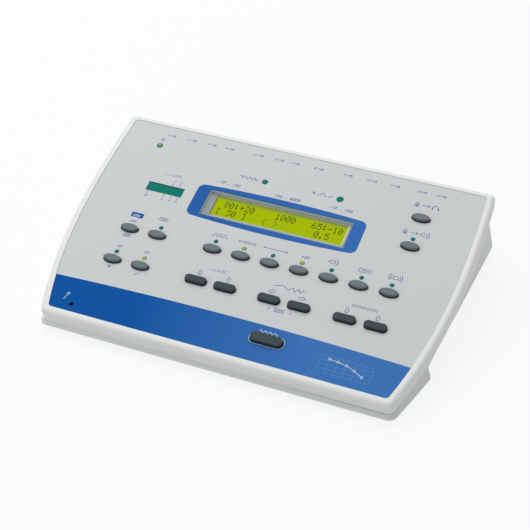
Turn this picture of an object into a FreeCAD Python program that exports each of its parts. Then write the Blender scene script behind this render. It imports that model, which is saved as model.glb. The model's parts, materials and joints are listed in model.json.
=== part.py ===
"""Desk-top diagnostic audiometer: a wedge-shaped two-part plastic case with a sloping keypad panel.

Millimetres.  +Z is up, the operator sits at -Y, and the origin is on the table under the middle.
The panel has its own frame: u runs to the right, v runs up the slope from the front edge of the
printed overlay, and n stands out of the overlay, whose face is n = 0.
"""
import FreeCAD
import Part
import math
import os
from FreeCAD import Vector

# ---------------------------------------------------------------- driving dimensions
# Panel and overlay
PANEL_TILT = 14.0            # slope of the panel to the table, degrees
OVERLAY_LENGTH = 170.0       # along the slope
OVERLAY_HALF_WIDTH = 130.0   # at the widest place
WIDEST_AT = 119.0            # up the slope from the overlay's front edge
SIDE_RADIUS_FRONT = 326.0    # the side is three tangent arcs: front,
SIDE_RADIUS_MIDDLE = 499.0   # middle
SIDE_RADIUS_REAR = 1180.0    # and rear, behind the widest place
SIDE_JOIN = 60.0             # where the front arc meets the middle one
OVERLAY_CORNER = 3.0
OVERLAY_THICKNESS = 0.5
OVERLAY_MARGIN = 0.15        # to the wall of its pocket

# Top cover
RIM_WIDTH = 5.0              # raised border along the overlay's front and sides
RIM_WIDTH_REAR = 4.2         # and along its rear
RIM_PROUD = 0.4              # height of the border over the overlay
RIM_ROUND = 3.0              # outer edge of the border
COVER_CORNER_FRONT = 4.5
COVER_CORNER_REAR = 3.7
LEAST_CORNER = 0.5           # inner corner of a thick wall
PLATE_THICKNESS = 2.5
SKIRT_DEPTH = 8.7            # under the overlay's face
SKIRT_WALL = 2.0

# Base shell
BASE_DEPTH = 193.0           # front to rear on the table
NOSE_SETBACK = 4.3           # overlay's front edge behind the base's front edge
NOSE_HEIGHT = 14.2           # overlay's front edge above the base's underside
SHADOW_GAP = 0.6             # groove between skirt and base
CHEEK_INSET = 0.4            # base wall inside the skirt's outer face, at the front
GRIP_INSET = 3.8             # and along the finger grips and the rear
CHEEK_HALF_FRONT = 119.0     # half width of the front cheeks on the table, front end
CHEEK_HALF_REAR = 129.4      # and rear end
CHEEK_BOW = 0.2              # outward bow between the two
CHEEK_LENGTH = 42.5          # from the base's front edge
GRIP_RAMP = 13.0             # length of the step behind the cheek
GRIP_TOP_START = 20.0        # the grip's front end under the skirt, up the slope
GRIP_TOP_RAMP = 24.0         # length of the step there
GRIP_HALF_FRONT = 125.6      # half width behind the step
BASE_HALF_REAR = 134.2       # half width at the rear edge
BASE_CORNER_FRONT = 6.0
BASE_CORNER_REAR = 4.0
BASE_WALL = 2.5
BASE_FLOOR = 2.5
BASE_EDGE = 1.0              # bevel along the underside's edge
TONGUE_WALL = 1.2
TONGUE_HEIGHT = 3.0          # above the base's upper edge
TONGUE_CLEARANCE = 0.3
FLANGE_THICKNESS = 1.5       # inward flange that carries the tongue

# Feet
FOOT_HEIGHT = 3.0
FOOT_RADIUS = 7.0
FOOT_SEAT = 1.0              # depth of its seat in the underside
FOOT_EDGE = 0.8
FOOT_CLEARANCE = 0.1
FOOT_ROOF = 1.8              # plastic over the seat
FRONT_FEET = (101.0, 18.7)   # half their distance apart, and behind the base's front edge
REAR_FEET = (114.0, 19.7)    # and before its rear edge

# Keys
KEY_PITCH = 20.15
CLUSTER_COLUMN = -90.0       # left column of the cluster of four
ROW_COLUMN = -30.1           # first column of the long row
UPPER_ROW = 74.5
LOWER_ROW = 47.2
TALK_COLUMN = 92.4
TALKBACK_ROW = 114.4
TALKOVER_ROW = 139.3
PRESENT_KEY = (30.2, 17.3)
KEY_TRAVEL = 1.0
KEY_SIDE_GAP = 0.3
KEY_FLANGE = 1.0             # thickness of the retaining flange
KEY_FLANGE_WIDTH = 1.0       # beyond the cap
KEY_REST_GAP = 0.3           # flange to cover at rest
KEY_STEM_RADIUS = 1.8
KEY_STEM_END = 7.0           # below the overlay's face
SWITCH_GAP = 0.3             # stem to plunger when pressed
OVAL_KEY = (12.7, 6.5, 2.6)  # width, depth, height over the overlay
OVAL_CROWN = 1.2
BAR_KEY = (14.8, 5.6, 2.6)
BAR_CORNER = 2.6
BAR_EDGE = 0.8
PRESENT_SIZE = (21.6, 7.0, 2.7)
PRESENT_CORNER = 3.2
KEY_TAPER = 0.25             # the cap is this much smaller all round at the top

# Indicator lamps
LAMP_OFFSET = 6.9            # behind the middle of the key it belongs to
LAMP_RADIUS = 1.5
STATUS_RADIUS = 2.1
RESPONSE_RADIUS = 2.4        # the lamp of the patient's answer is larger
LAMP_FLANGE = 0.5
LAMP_FLANGE_HEIGHT = 1.0
LAMP_PROUD = 0.3
LAMP_EDGE = 0.25
LAMP_CLEARANCE = 0.1
POWER_LAMP = (-101.9, 150.9)
PRESENT_LAMP = (-18.0, 140.0)
RESPONSE_LAMP = (36.0, 140.0)

# Level meter and microphone
METER_CENTRE = (-81.5, 113.9)
METER_SIZE = (26.3, 7.7)
METER_CLEARANCE = 0.15
METER_SUNK = 0.2
MICROPHONE = (-99.6, 5.8)
MICROPHONE_HOLE = 1.1
MICROPHONE_RADIUS = 3.0
MICROPHONE_LENGTH = 4.5
MICROPHONE_COLLAR = 1.2

# Display module
DISPLAY_CENTRE = (0.2, 112.0)
DISPLAY_WINDOW = (102.6, 22.8)
DISPLAY_WINDOW_CORNER = 1.0
DISPLAY_VIEW = (93.9, 17.7)
DISPLAY_VIEW_OFFSET = (1.2, 1.45)    # its middle from the window's middle
DISPLAY_FRAME = (108.0, 28.0)
DISPLAY_FRAME_WALL = 1.2
DISPLAY_FRAME_CORNER = 1.0
DISPLAY_CUT_CORNER = 0.5
DISPLAY_GLASS = (100.0, 21.0)
DISPLAY_GLASS_THICKNESS = 2.4
DISPLAY_GLASS_CORNER = 0.4
DISPLAY_GLASS_FIT = 0.1      # to the frame, all round
DISPLAY_BOARD = (122.0, 36.0)
DISPLAY_BOARD_CORNER = 1.5
DISPLAY_DEPTH = 9.4          # underside of the frame below the overlay's face
DISPLAY_HOLE_PITCH = (115.0, 30.0)
DISPLAY_SCREW_BITE = 4.5

# Boards
BOARD_THICKNESS = 1.6
KEY_BOARD_TOP = 12.5         # below the overlay's face
KEY_BOARD_HALF = 108.0
KEY_BOARD_START = 12.5
KEY_BOARD_END = 156.0
SWITCH_BODY = 6.0
SWITCH_HEIGHT = 3.5
SWITCH_PLUNGER = 1.75
MAIN_BOARD_HALF = 110.0
MAIN_BOARD_SETBACK = 77.0    # its front edge to the rear of the overlay's front edge
MAIN_BOARD_REAR_GAP = 1.5    # to the connector panel
STANDOFF_HEIGHT = 5.0
STANDOFF_RADIUS = 3.0
HEADER = (34.0, 5.0, 6.0)    # plug at each end of the flat cable
CABLE_WIDTH = 30.0
CABLE_THICKNESS = 0.9
CABLE_AT = -62.0             # its middle line
LOWER_HEADER_AT = 10.0       # on the main board, from its front edge, as its chips are
UPPER_HEADER_AT = 121.0      # under the key board, up the slope
CHIP_HEIGHT = 2.2
CHIPS = ((10.0, 30.0, 20.0), (52.0, 38.0, 12.0), (-8.0, 54.0, 10.0), (78.0, 26.0, 12.0))
CAPACITOR_RADIUS = 4.0
CAPACITOR_HEIGHT = 9.0
CAPACITORS = ((-24.0, 18.0), (-24.0, 29.0), (60.0, 18.0))
MAIN_BOARD_COLUMNS = (-104.0, -40.0, 40.0, 104.0)    # of its screws
MAIN_BOARD_FRONT_ROW = 6.0   # behind its front edge
MAIN_BOARD_REAR_ROW = 36.5   # before its rear edge
KEY_BOARD_POSTS = ((-104.0, 30.0), (104.0, 30.0), (-104.0, 92.0), (104.0, 92.0),
                   (-104.0, 140.0), (104.0, 126.0), (0.0, 30.0), (0.0, 88.5))

# Fasteners
SCREW_RADIUS = 1.45
SCREW_HEAD_RADIUS = 2.7
SCREW_HEAD = 1.9
SCREW_HEAD_EDGE = 0.5
SCREW_BITE = 6.0             # thread length in the receiving boss
SCREW_CLEARANCE = 0.05
SCREW_TIP_GAP = 1.0          # pilot hole deeper than the screw
HEAD_CLEARANCE = 0.6
BOSS_RADIUS = 4.2
BOSS_CLEARANCE = 1.0         # boards keep this far from a boss
BOSS_SHELF = 3.0             # plastic between the screw's head and the joint
CASE_SCREWS = ((96.0, 28.8), (115.0, 96.8), (79.5, 134.8))   # half their distance apart,
                             # and to the rear of the overlay's front edge
CASE_PILOT = 5.0             # depth of the pilot hole over the joint
JOINT_DROP = 6.0             # joint of the bosses under the cover's plate

# Rear connectors
RECESS_HALF = 109.0
RECESS_BOTTOM = 10.8
RECESS_TOP = 33.4
RECESS_WALL = 2.0
CONNECTOR_PANEL_THICKNESS = 2.0
CONNECTOR_PANEL_SETBACK = 13.7   # outer face in front of the base's rear edge
CONNECTOR_PANEL_FIT = 0.15
CONNECTOR_AXIS = 21.4        # height of the jack axes
CONNECTOR_GAP = 0.3
SOCKET_PROUD = 0.5           # nose of the square and power sockets beyond the panel
JACK_BORE = 3.25
JACK_DEPTH = 30.0
JACK_BODY = (15.0, 27.0, 15.6)
JACK_NOSE_RADIUS = 4.5
JACK_NOSE = 2.6              # beyond the panel
NUT_RADIUS = 7.0
NUT_THICKNESS = 2.0
NUT_SLOT = 1.2               # width of a spanner slot
MINI_BORE = 1.8
MINI_DEPTH = 14.0
MINI_BODY = (9.6, 12.5, 13.6)
MINI_NOSE_RADIUS = 3.4
MINI_NOSE = 0.8
LARGE_JACKS = {"response_jack": -31.5, "left_phone_jack": 12.5, "right_phone_jack": 33.5,
               "insert_phone_jack": 50.8, "bone_vibrator_jack": 67.0}
SMALL_JACKS = {"line_out_jack": -67.0, "line_in_jack": -53.5, "second_microphone_jack": -4.8,
               "monitor_headset_jack": 86.0, "first_microphone_jack": 99.4}
USB_AT = -98.0
USB_SHELL = (12.0, 16.0, 10.8)
USB_MOUTH = (8.5, 7.9)
USB_BEVEL = 1.8
USB_TONGUE = (5.6, 3.2)
USB_DEPTH = 9.0
USB_TONGUE_SUNK = 1.0
DATA_AT = -82.4
DATA_BODY = (14.0, 12.8, 13.0)
DATA_RADIUS = 4.6
DATA_RING_DEPTH = 5.0
DATA_RIM = 1.0               # body beyond the neck
DATA_CORE_SUNK = 0.5
DATA_GROOVE = 0.7
DATA_PIN_CIRCLE = 2.7
DATA_PIN = 0.55
DATA_PIN_DEPTH = 4.0
DATA_PINS = 6
POWER_AT = -16.0
POWER_BODY = (9.0, 14.0, 11.0)
POWER_NOSE = 4.0
POWER_BORE = 2.9
POWER_DEPTH = 9.5
POWER_PIN = 1.0
POWER_PIN_SUNK = 1.0

# ---------------------------------------------------------------- frames and helpers
BASE_FRONT = -BASE_DEPTH / 2
BASE_REAR = BASE_DEPTH / 2
CONNECTOR_PANEL_FACE = BASE_REAR - CONNECTOR_PANEL_SETBACK
PANEL_Y = BASE_FRONT + NOSE_SETBACK
PANEL_Z = FOOT_HEIGHT + NOSE_HEIGHT
PANEL = FreeCAD.Placement(Vector(0, PANEL_Y, PANEL_Z),
                          FreeCAD.Rotation(Vector(1, 0, 0), PANEL_TILT))
TAN_TILT = math.tan(math.radians(PANEL_TILT))
COS_TILT = math.cos(math.radians(PANEL_TILT))
PLATE_TOP = -OVERLAY_THICKNESS
PLATE_UNDERSIDE = PLATE_TOP - PLATE_THICKNESS
PARTING = -SKIRT_DEPTH - SHADOW_GAP
FLOOR_TOP = FOOT_HEIGHT + BASE_FLOOR
MAIN_BOARD_UNDERSIDE = FLOOR_TOP + STANDOFF_HEIGHT
MAIN_BOARD_TOP = MAIN_BOARD_UNDERSIDE + BOARD_THICKNESS
MAIN_BOARD_REAR = CONNECTOR_PANEL_FACE - CONNECTOR_PANEL_THICKNESS - MAIN_BOARD_REAR_GAP
MAIN_BOARD_FRONT = PANEL_Y + MAIN_BOARD_SETBACK
CUT_MARGIN = 5.0             # how far a cutting tool runs past what it cuts
OVERLAP = 1.0                # how far a piece runs into the one it is joined to


def to_world(shape):
    """A shape drawn in the panel's u, v, n frame, put in its place on the case."""
    placed = shape.copy()
    placed.Placement = PANEL.multiply(placed.Placement)
    return placed


def panel_height(y, n):
    """Height above the table of the plane n of the panel, at a distance y to the rear."""
    return PANEL_Z + (y - PANEL_Y) * TAN_TILT + n / COS_TILT


def box(x0, x1, y0, y1, z0, z1):
    return Part.makeBox(x1 - x0, y1 - y0, z1 - z0, Vector(x0, y0, z0))


def post(x, y, radius, z0, z1):
    """Upright cylinder between two heights."""
    return Part.makeCylinder(radius, z1 - z0, Vector(x, y, z0))


def rod(x, z, radius, y0, y1):
    """Cylinder along Y."""
    return Part.makeCylinder(radius, y1 - y0, Vector(x, y0, z), Vector(0, 1, 0))


def fuse(shapes):
    """One solid from several that touch or overlap."""
    whole = shapes[0]
    if len(shapes) > 1:
        whole = whole.multiFuse(list(shapes[1:]))
    return whole.removeSplitter()


def cut(shape, tools):
    return shape.cut(list(tools))


def vertical_edges(shape):
    """Edges parallel to the shape's own third axis."""
    found = []
    for edge in shape.Edges:
        ends = edge.Vertexes
        if len(ends) == 2 and isinstance(edge.Curve, Part.Line):
            along = ends[1].Point - ends[0].Point
            if abs(along.x) < 1e-6 and abs(along.y) < 1e-6:
                found.append(edge)
    return found


def rounded_block(centre, size, corner, n0, n1):
    """Block on a rectangle with rounded corners, between two levels."""
    u, v = centre
    width, depth = size
    block = box(u - width / 2, u + width / 2, v - depth / 2, v + depth / 2, n0, n1)
    return block.makeFillet(corner, vertical_edges(block))


def top_edges(shape, level):
    """Edges that lie wholly in the plane z = level."""
    def flat(edge):
        bounds = edge.BoundBox
        return abs(bounds.ZMin - level) < 1e-5 and abs(bounds.ZMax - level) < 1e-5
    return [edge for edge in shape.Edges if flat(edge)]


# ---------------------------------------------------------------- outlines
JOIN_ANGLE = math.asin((WIDEST_AT - SIDE_JOIN) / SIDE_RADIUS_MIDDLE)
CHEEK_END = BASE_FRONT + CHEEK_LENGTH
GRIP_START = CHEEK_END + GRIP_RAMP
TONGUE_INSET = SKIRT_WALL + TONGUE_CLEARANCE
FLANGE_INSET = GRIP_INSET + BASE_WALL / 2


def on_arc(centre, radius, v):
    """Half width at the station v on an arc with its centre at (half width, station)."""
    return centre[0] + math.sqrt(radius ** 2 - (v - centre[1]) ** 2)


def panel_half(v, grow):
    """Half width of the barrel-shaped overlay, grown by a border, at a station up the slope."""
    middle = (OVERLAY_HALF_WIDTH - SIDE_RADIUS_MIDDLE, WIDEST_AT)
    if v > WIDEST_AT:
        rear = (OVERLAY_HALF_WIDTH - SIDE_RADIUS_REAR, WIDEST_AT)
        return on_arc(rear, SIDE_RADIUS_REAR + grow, v)
    if v > WIDEST_AT - (SIDE_RADIUS_MIDDLE + grow) * math.sin(JOIN_ANGLE):
        return on_arc(middle, SIDE_RADIUS_MIDDLE + grow, v)
    shift = SIDE_RADIUS_MIDDLE - SIDE_RADIUS_FRONT
    front = (middle[0] + shift * math.cos(JOIN_ANGLE), middle[1] - shift * math.sin(JOIN_ANGLE))
    return on_arc(front, SIDE_RADIUS_FRONT + grow, v)


def cheek_half(y):
    """Half width of the base on the table, along the front cheek."""
    share = (y - BASE_FRONT) / CHEEK_LENGTH
    bow = 4 * CHEEK_BOW * share * (1 - share)
    return CHEEK_HALF_FRONT + (CHEEK_HALF_REAR - CHEEK_HALF_FRONT) * share + bow


def flank_half(y):
    """Half width of the base on the table, along the straight flank behind the cheek."""
    share = (y - GRIP_START) / (BASE_REAR - GRIP_START)
    return GRIP_HALF_FRONT + (BASE_HALF_REAR - GRIP_HALF_FRONT) * share


def ramp(station, start, length):
    """0 along the cheek, 1 along the finger grip, smooth in between."""
    share = min(1.0, max(0.0, (station - start) / length))
    return share * share * (3 - 2 * share)


def base_half(y):
    """Half width of the base on the table: cheek, smooth step inwards, straight flank."""
    share = ramp(y, CHEEK_END, GRIP_RAMP)
    return cheek_half(y) * (1 - share) + flank_half(y) * share


def smooth_edge(points):
    """Line through two points, arc through three, smooth curve through more."""
    if len(points) == 2:
        return Part.makeLine(points[0], points[1])
    if len(points) == 3:
        return Part.Arc(points[0], points[1], points[2]).toShape()
    curve = Part.BSplineCurve()
    curve.interpolate(points)
    return curve.toShape()


def barrel_wire(half, ends, corners, breaks, steps, place):
    """Closed outline with straight front and rear edges, shaped sides and round corners.

    half gives the half width at a station, ends are the front and rear stations and corners
    their radii.  breaks split each side into spans, and steps says how many steps each span
    is drawn in: 1 makes a line, 2 an arc, more a smooth curve.  place puts a point in space.
    """
    front, rear = ends
    front_radius, rear_radius = corners

    def lean(y):
        return math.atan2(half(y + 0.5) - half(y - 0.5), 1.0)

    front_lean = lean(front + front_radius)
    rear_lean = lean(rear - rear_radius)
    start = front + front_radius * (1 - math.sin(front_lean))
    end = rear - rear_radius * (1 + math.sin(rear_lean))
    front_centre = (half(start) - front_radius * math.cos(front_lean), front + front_radius)
    rear_centre = (half(end) - rear_radius * math.cos(rear_lean), rear - rear_radius)

    def corner(centre, radius, angle):
        return (centre[0] + radius * math.cos(angle), centre[1] + radius * math.sin(angle))

    front_middle = corner(front_centre, front_radius, -(math.pi / 2 + front_lean) / 2)
    rear_middle = corner(rear_centre, rear_radius, (math.pi / 2 - rear_lean) / 2)
    marks = [start] + list(breaks) + [end]
    right_side = [[(front_centre[0], front), front_middle, (half(start), start)]]
    for first, last, count in zip(marks, marks[1:], steps):
        stations = [first + (last - first) * i / count for i in range(count + 1)]
        right_side.append([(half(y), y) for y in stations])
    right_side.append([(half(end), end), rear_middle, (rear_centre[0], rear)])
    left_side = [[(-x, y) for x, y in points[::-1]] for points in right_side[::-1]]
    rear_edge = [(rear_centre[0], rear), (-rear_centre[0], rear)]
    front_edge = [(-front_centre[0], front), (front_centre[0], front)]
    chain = right_side + [rear_edge] + left_side + [front_edge]
    return Part.Wire([smooth_edge([place(x, y) for x, y in points]) for points in chain])


def panel_prism(grow, ends, corners, n0, n1):
    """Prism on the overlay's outline grown by a border, in the panel's frame."""
    join = WIDEST_AT - (SIDE_RADIUS_MIDDLE + grow) * math.sin(JOIN_ANGLE)
    wire = barrel_wire(lambda v: panel_half(v, grow), ends, corners, (join, WIDEST_AT), (2, 2, 2),
                       lambda x, y: Vector(x, y, n0))
    return Part.Face(wire).extrude(Vector(0, 0, n1 - n0))


def overlay_prism(margin, n0, n1):
    """Prism on the overlay's own outline, drawn in by a margin."""
    return panel_prism(-margin, (margin, OVERLAY_LENGTH - margin), (OVERLAY_CORNER, OVERLAY_CORNER),
                       n0, n1)


def inner_corner(corner, inset):
    """Corner radius of an outline drawn in by an inset."""
    return max(corner - inset, LEAST_CORNER)


def cover_ends(inset):
    return (-RIM_WIDTH + inset, OVERLAY_LENGTH + RIM_WIDTH_REAR - inset)


def cover_prism(inset, n0, n1):
    """Prism on the cover's outline, drawn in by an inset."""
    corners = (inner_corner(COVER_CORNER_FRONT, inset), inner_corner(COVER_CORNER_REAR, inset))
    return panel_prism(RIM_WIDTH - inset, cover_ends(inset), corners, n0, n1)


def base_foot_wire(inset, level):
    """Outline of the base on a level plane."""
    return barrel_wire(lambda y: base_half(y) - inset, (BASE_FRONT + inset, BASE_REAR - inset),
                       (BASE_CORNER_FRONT - inset, BASE_CORNER_REAR - inset),
                       (CHEEK_END, GRIP_START), (2, 6, 1), lambda x, y: Vector(x, y, level))


def base_top_wire(inset):
    """Outline of the base's upper edge, in the parting plane: flush cheeks, deeper grips."""
    def half(v):
        share = ramp(v, GRIP_TOP_START, GRIP_TOP_RAMP)
        drawn_in = CHEEK_INSET + (GRIP_INSET - CHEEK_INSET) * share
        return panel_half(v, RIM_WIDTH) - drawn_in - inset

    ends = (cover_ends(CHEEK_INSET + inset)[0], cover_ends(GRIP_INSET + inset)[1])
    return barrel_wire(half, ends, (BASE_CORNER_FRONT - inset, BASE_CORNER_REAR - inset),
                       (GRIP_TOP_START, GRIP_TOP_START + GRIP_TOP_RAMP), (2, 6, 4),
                       lambda x, y: PANEL.multVec(Vector(x, y, PARTING)))


def base_outer_form():
    """Flared outer form of the base, bevelled along its lower edge."""
    sections = [base_foot_wire(BASE_EDGE, FOOT_HEIGHT), base_foot_wire(0.0, FOOT_HEIGHT + BASE_EDGE),
                base_top_wire(0.0)]
    return Part.makeLoft(sections, True, True)


def base_hollow_form():
    """The room inside the walls, above the floor."""
    return Part.makeLoft([base_foot_wire(BASE_WALL, FLOOR_TOP), base_top_wire(BASE_WALL)], True, True)


# ---------------------------------------------------------------- places of the controls
def cluster(index):
    """Column of the cluster of four keys."""
    return CLUSTER_COLUMN + index * KEY_PITCH


def column(index):
    """Column of the long row; half a pitch is allowed."""
    return ROW_COLUMN + index * KEY_PITCH


OVAL_KEYS = {
    "key_on_off": (cluster(0), UPPER_ROW),
    "key_test_menu": (cluster(1), UPPER_ROW),
    "key_left_ear": (cluster(0), LOWER_ROW),
    "key_right_ear": (cluster(1), LOWER_ROW),
    "key_pulse": (column(0), UPPER_ROW),
    "key_mask": (column(1), UPPER_ROW),
    "key_constant": (column(2), UPPER_ROW),
    "key_boost": (column(3), UPPER_ROW),
    "key_free_field": (column(4), UPPER_ROW),
    "key_speech": (column(5), UPPER_ROW),
    "key_bone": (column(6), UPPER_ROW),
    "key_talkback": (TALK_COLUMN, TALKBACK_ROW),
    "key_talkover": (TALK_COLUMN, TALKOVER_ROW),
}
BAR_KEYS = {
    "key_signal_down": (column(0), LOWER_ROW),
    "key_signal_up": (column(1), LOWER_ROW),
    "key_frequency_down": (column(2.5), LOWER_ROW),
    "key_frequency_up": (column(3.5), LOWER_ROW),
    "key_masking_down": (column(5), LOWER_ROW),
    "key_masking_up": (column(6), LOWER_ROW),
}
KEYS_WITHOUT_LAMP = ("key_on_off", "key_talkover")
KEY_LAMPS = [(u, v + LAMP_OFFSET, LAMP_RADIUS) for name, (u, v) in OVAL_KEYS.items()
             if name not in KEYS_WITHOUT_LAMP]
STATUS_LAMPS = [(*POWER_LAMP, STATUS_RADIUS), (*PRESENT_LAMP, STATUS_RADIUS),
                (*RESPONSE_LAMP, RESPONSE_RADIUS)]
ALL_KEYS = dict(OVAL_KEYS)
ALL_KEYS.update(BAR_KEYS)
ALL_KEYS["key_present"] = PRESENT_KEY


def oval_section(centre, size, grow, level):
    """Ellipse of a key, grown by a clearance, as a wire."""
    u, v = centre
    ellipse = Part.Ellipse(Vector(u, v, level), size[0] / 2 + grow, size[1] / 2 + grow)
    return Part.Wire(ellipse.toShape())


def key_prism(name, grow, n0, n1):
    """Straight prism on a key's outline: its hole, its flange or the foot of its cap."""
    centre = ALL_KEYS[name]
    if name in OVAL_KEYS:
        wire = oval_section(centre, OVAL_KEY, grow, n0)
        return Part.Face(wire).extrude(Vector(0, 0, n1 - n0))
    size, corner = (PRESENT_SIZE, PRESENT_CORNER) if name == "key_present" else (BAR_KEY, BAR_CORNER)
    grown = (size[0] + 2 * grow, size[1] + 2 * grow)
    return rounded_block(centre, grown, corner + grow, n0, n1)


def panel_openings(n0, n1):
    """Everything that passes through the overlay and the cover's plate, as cutting tools."""
    tools = [key_prism(name, KEY_SIDE_GAP, n0, n1) for name in ALL_KEYS]
    for u, v, radius in KEY_LAMPS + STATUS_LAMPS:
        tools.append(post(u, v, radius + LAMP_CLEARANCE, n0, n1))
    meter = (METER_SIZE[0] + 2 * METER_CLEARANCE, METER_SIZE[1] + 2 * METER_CLEARANCE)
    tools.append(rounded_block(METER_CENTRE, meter, METER_CLEARANCE * 2, n0, n1))
    tools.append(rounded_block(DISPLAY_CENTRE, DISPLAY_WINDOW, DISPLAY_WINDOW_CORNER, n0, n1))
    tools.append(post(*MICROPHONE, MICROPHONE_HOLE, n0, n1))
    return tools


# ---------------------------------------------------------------- fastener places
def case_screw_places():
    """Six screws: front pair, middle pair and rear pair, mirrored left and right."""
    return [(sign * x, PANEL_Y + y) for x, y in CASE_SCREWS for sign in (-1, 1)]


def joint_height(y):
    """Where the base's boss meets the cover's boss."""
    return panel_height(y, PLATE_UNDERSIDE) - JOINT_DROP


MAIN_BOARD_POSTS = [(x, y) for x in MAIN_BOARD_COLUMNS
                    for y in (MAIN_BOARD_FRONT + MAIN_BOARD_FRONT_ROW,
                              MAIN_BOARD_REAR - MAIN_BOARD_REAR_ROW)]
DISPLAY_POSTS = [(DISPLAY_CENTRE[0] + su * DISPLAY_HOLE_PITCH[0] / 2,
                  DISPLAY_CENTRE[1] + sv * DISPLAY_HOLE_PITCH[1] / 2)
                 for su in (-1, 1) for sv in (-1, 1)]


def screw(x, y, head_top, direction, length):
    """Pan-head screw.  direction is +1 if its point is upwards."""
    under_head = head_top + direction * SCREW_HEAD
    tip = under_head + direction * length
    low, high = sorted((head_top, under_head))
    head = post(x, y, SCREW_HEAD_RADIUS, low, high)
    head = head.makeChamfer(SCREW_HEAD_EDGE, top_edges(head, head_top))
    low, high = sorted((under_head, tip))
    return fuse([head, post(x, y, SCREW_RADIUS, low, high)])


# ---------------------------------------------------------------- case
def make_top_cover():
    """Cover: flat plate with a rounded border, a skirt, posts for the boards and screw bosses."""
    body = cover_prism(0.0, -SKIRT_DEPTH, RIM_PROUD)
    body = body.makeFillet(RIM_ROUND, top_edges(body, RIM_PROUD))
    pocket = overlay_prism(0.0, PLATE_TOP, RIM_PROUD + CUT_MARGIN)
    hollow = cover_prism(SKIRT_WALL, -SKIRT_DEPTH - CUT_MARGIN, PLATE_UNDERSIDE)
    body = cut(body, [pocket, hollow])
    body = cut(body, panel_openings(PLATE_UNDERSIDE - CUT_MARGIN, RIM_PROUD + CUT_MARGIN))

    posts = []
    pilots = []
    for u, v in KEY_BOARD_POSTS:
        posts.append(post(u, v, STANDOFF_RADIUS, -KEY_BOARD_TOP, PLATE_UNDERSIDE))
        pilots.append(post(u, v, SCREW_RADIUS + SCREW_CLEARANCE, -KEY_BOARD_TOP - CUT_MARGIN,
                           -KEY_BOARD_TOP + SCREW_BITE))
    for u, v in DISPLAY_POSTS:
        posts.append(post(u, v, STANDOFF_RADIUS, -DISPLAY_DEPTH, PLATE_UNDERSIDE))
        pilots.append(post(u, v, SCREW_RADIUS + SCREW_CLEARANCE, -DISPLAY_DEPTH - CUT_MARGIN,
                           PLATE_UNDERSIDE - SCREW_CLEARANCE))
    mic_u, mic_v = MICROPHONE
    collar = post(mic_u, mic_v, MICROPHONE_RADIUS + MICROPHONE_COLLAR,
                  PLATE_UNDERSIDE - MICROPHONE_LENGTH / 2, PLATE_UNDERSIDE)
    posts.append(collar)
    pilots.append(post(mic_u, mic_v, MICROPHONE_RADIUS + SCREW_CLEARANCE,
                       PLATE_UNDERSIDE - MICROPHONE_LENGTH, PLATE_UNDERSIDE))
    body = to_world(cut(fuse([body] + posts), pilots))

    bosses = []
    holes = []
    for x, y in case_screw_places():
        joint = joint_height(y)
        top = panel_height(y, PLATE_UNDERSIDE) + BOSS_RADIUS * TAN_TILT + PLATE_THICKNESS / 2
        bosses.append(post(x, y, BOSS_RADIUS, joint, top))
        holes.append(post(x, y, SCREW_RADIUS + SCREW_CLEARANCE, joint - CUT_MARGIN,
                          joint + CASE_PILOT))
    above_plate = to_world(box(-2 * OVERLAY_HALF_WIDTH, 2 * OVERLAY_HALF_WIDTH, -OVERLAY_LENGTH,
                               2 * OVERLAY_LENGTH, (PLATE_TOP + PLATE_UNDERSIDE) / 2, CUT_MARGIN * 4))
    bosses = [boss.cut(above_plate) for boss in bosses]
    return cut(fuse([body] + bosses), holes)


def make_front_overlay():
    """Printed plastic sheet in the cover's pocket, cut out for keys, lamps, meter and display."""
    sheet = overlay_prism(OVERLAY_MARGIN, PLATE_TOP, 0.0)
    return to_world(cut(sheet, panel_openings(PLATE_TOP - CUT_MARGIN, CUT_MARGIN)))


def recess_frame():
    """Walls of the connector recess, carried by the rear wall, and the slot for its panel."""
    outer = box(-RECESS_HALF - RECESS_WALL, RECESS_HALF + RECESS_WALL,
                CONNECTOR_PANEL_FACE - CONNECTOR_PANEL_THICKNESS - RECESS_WALL, BASE_REAR,
                RECESS_BOTTOM - RECESS_WALL, RECESS_TOP + RECESS_WALL)
    return outer


def recess_cuts():
    """The recess itself and the rebate that holds the connector panel from inside."""
    mouth = box(-RECESS_HALF, RECESS_HALF, CONNECTOR_PANEL_FACE, BASE_REAR + CUT_MARGIN,
                RECESS_BOTTOM, RECESS_TOP)
    lip = RECESS_WALL / 2
    seat = box(-RECESS_HALF - lip, RECESS_HALF + lip,
               CONNECTOR_PANEL_FACE - CONNECTOR_PANEL_THICKNESS - RECESS_WALL - CUT_MARGIN,
               CONNECTOR_PANEL_FACE, RECESS_BOTTOM - lip, RECESS_TOP + lip)
    return [mouth, seat]


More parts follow.
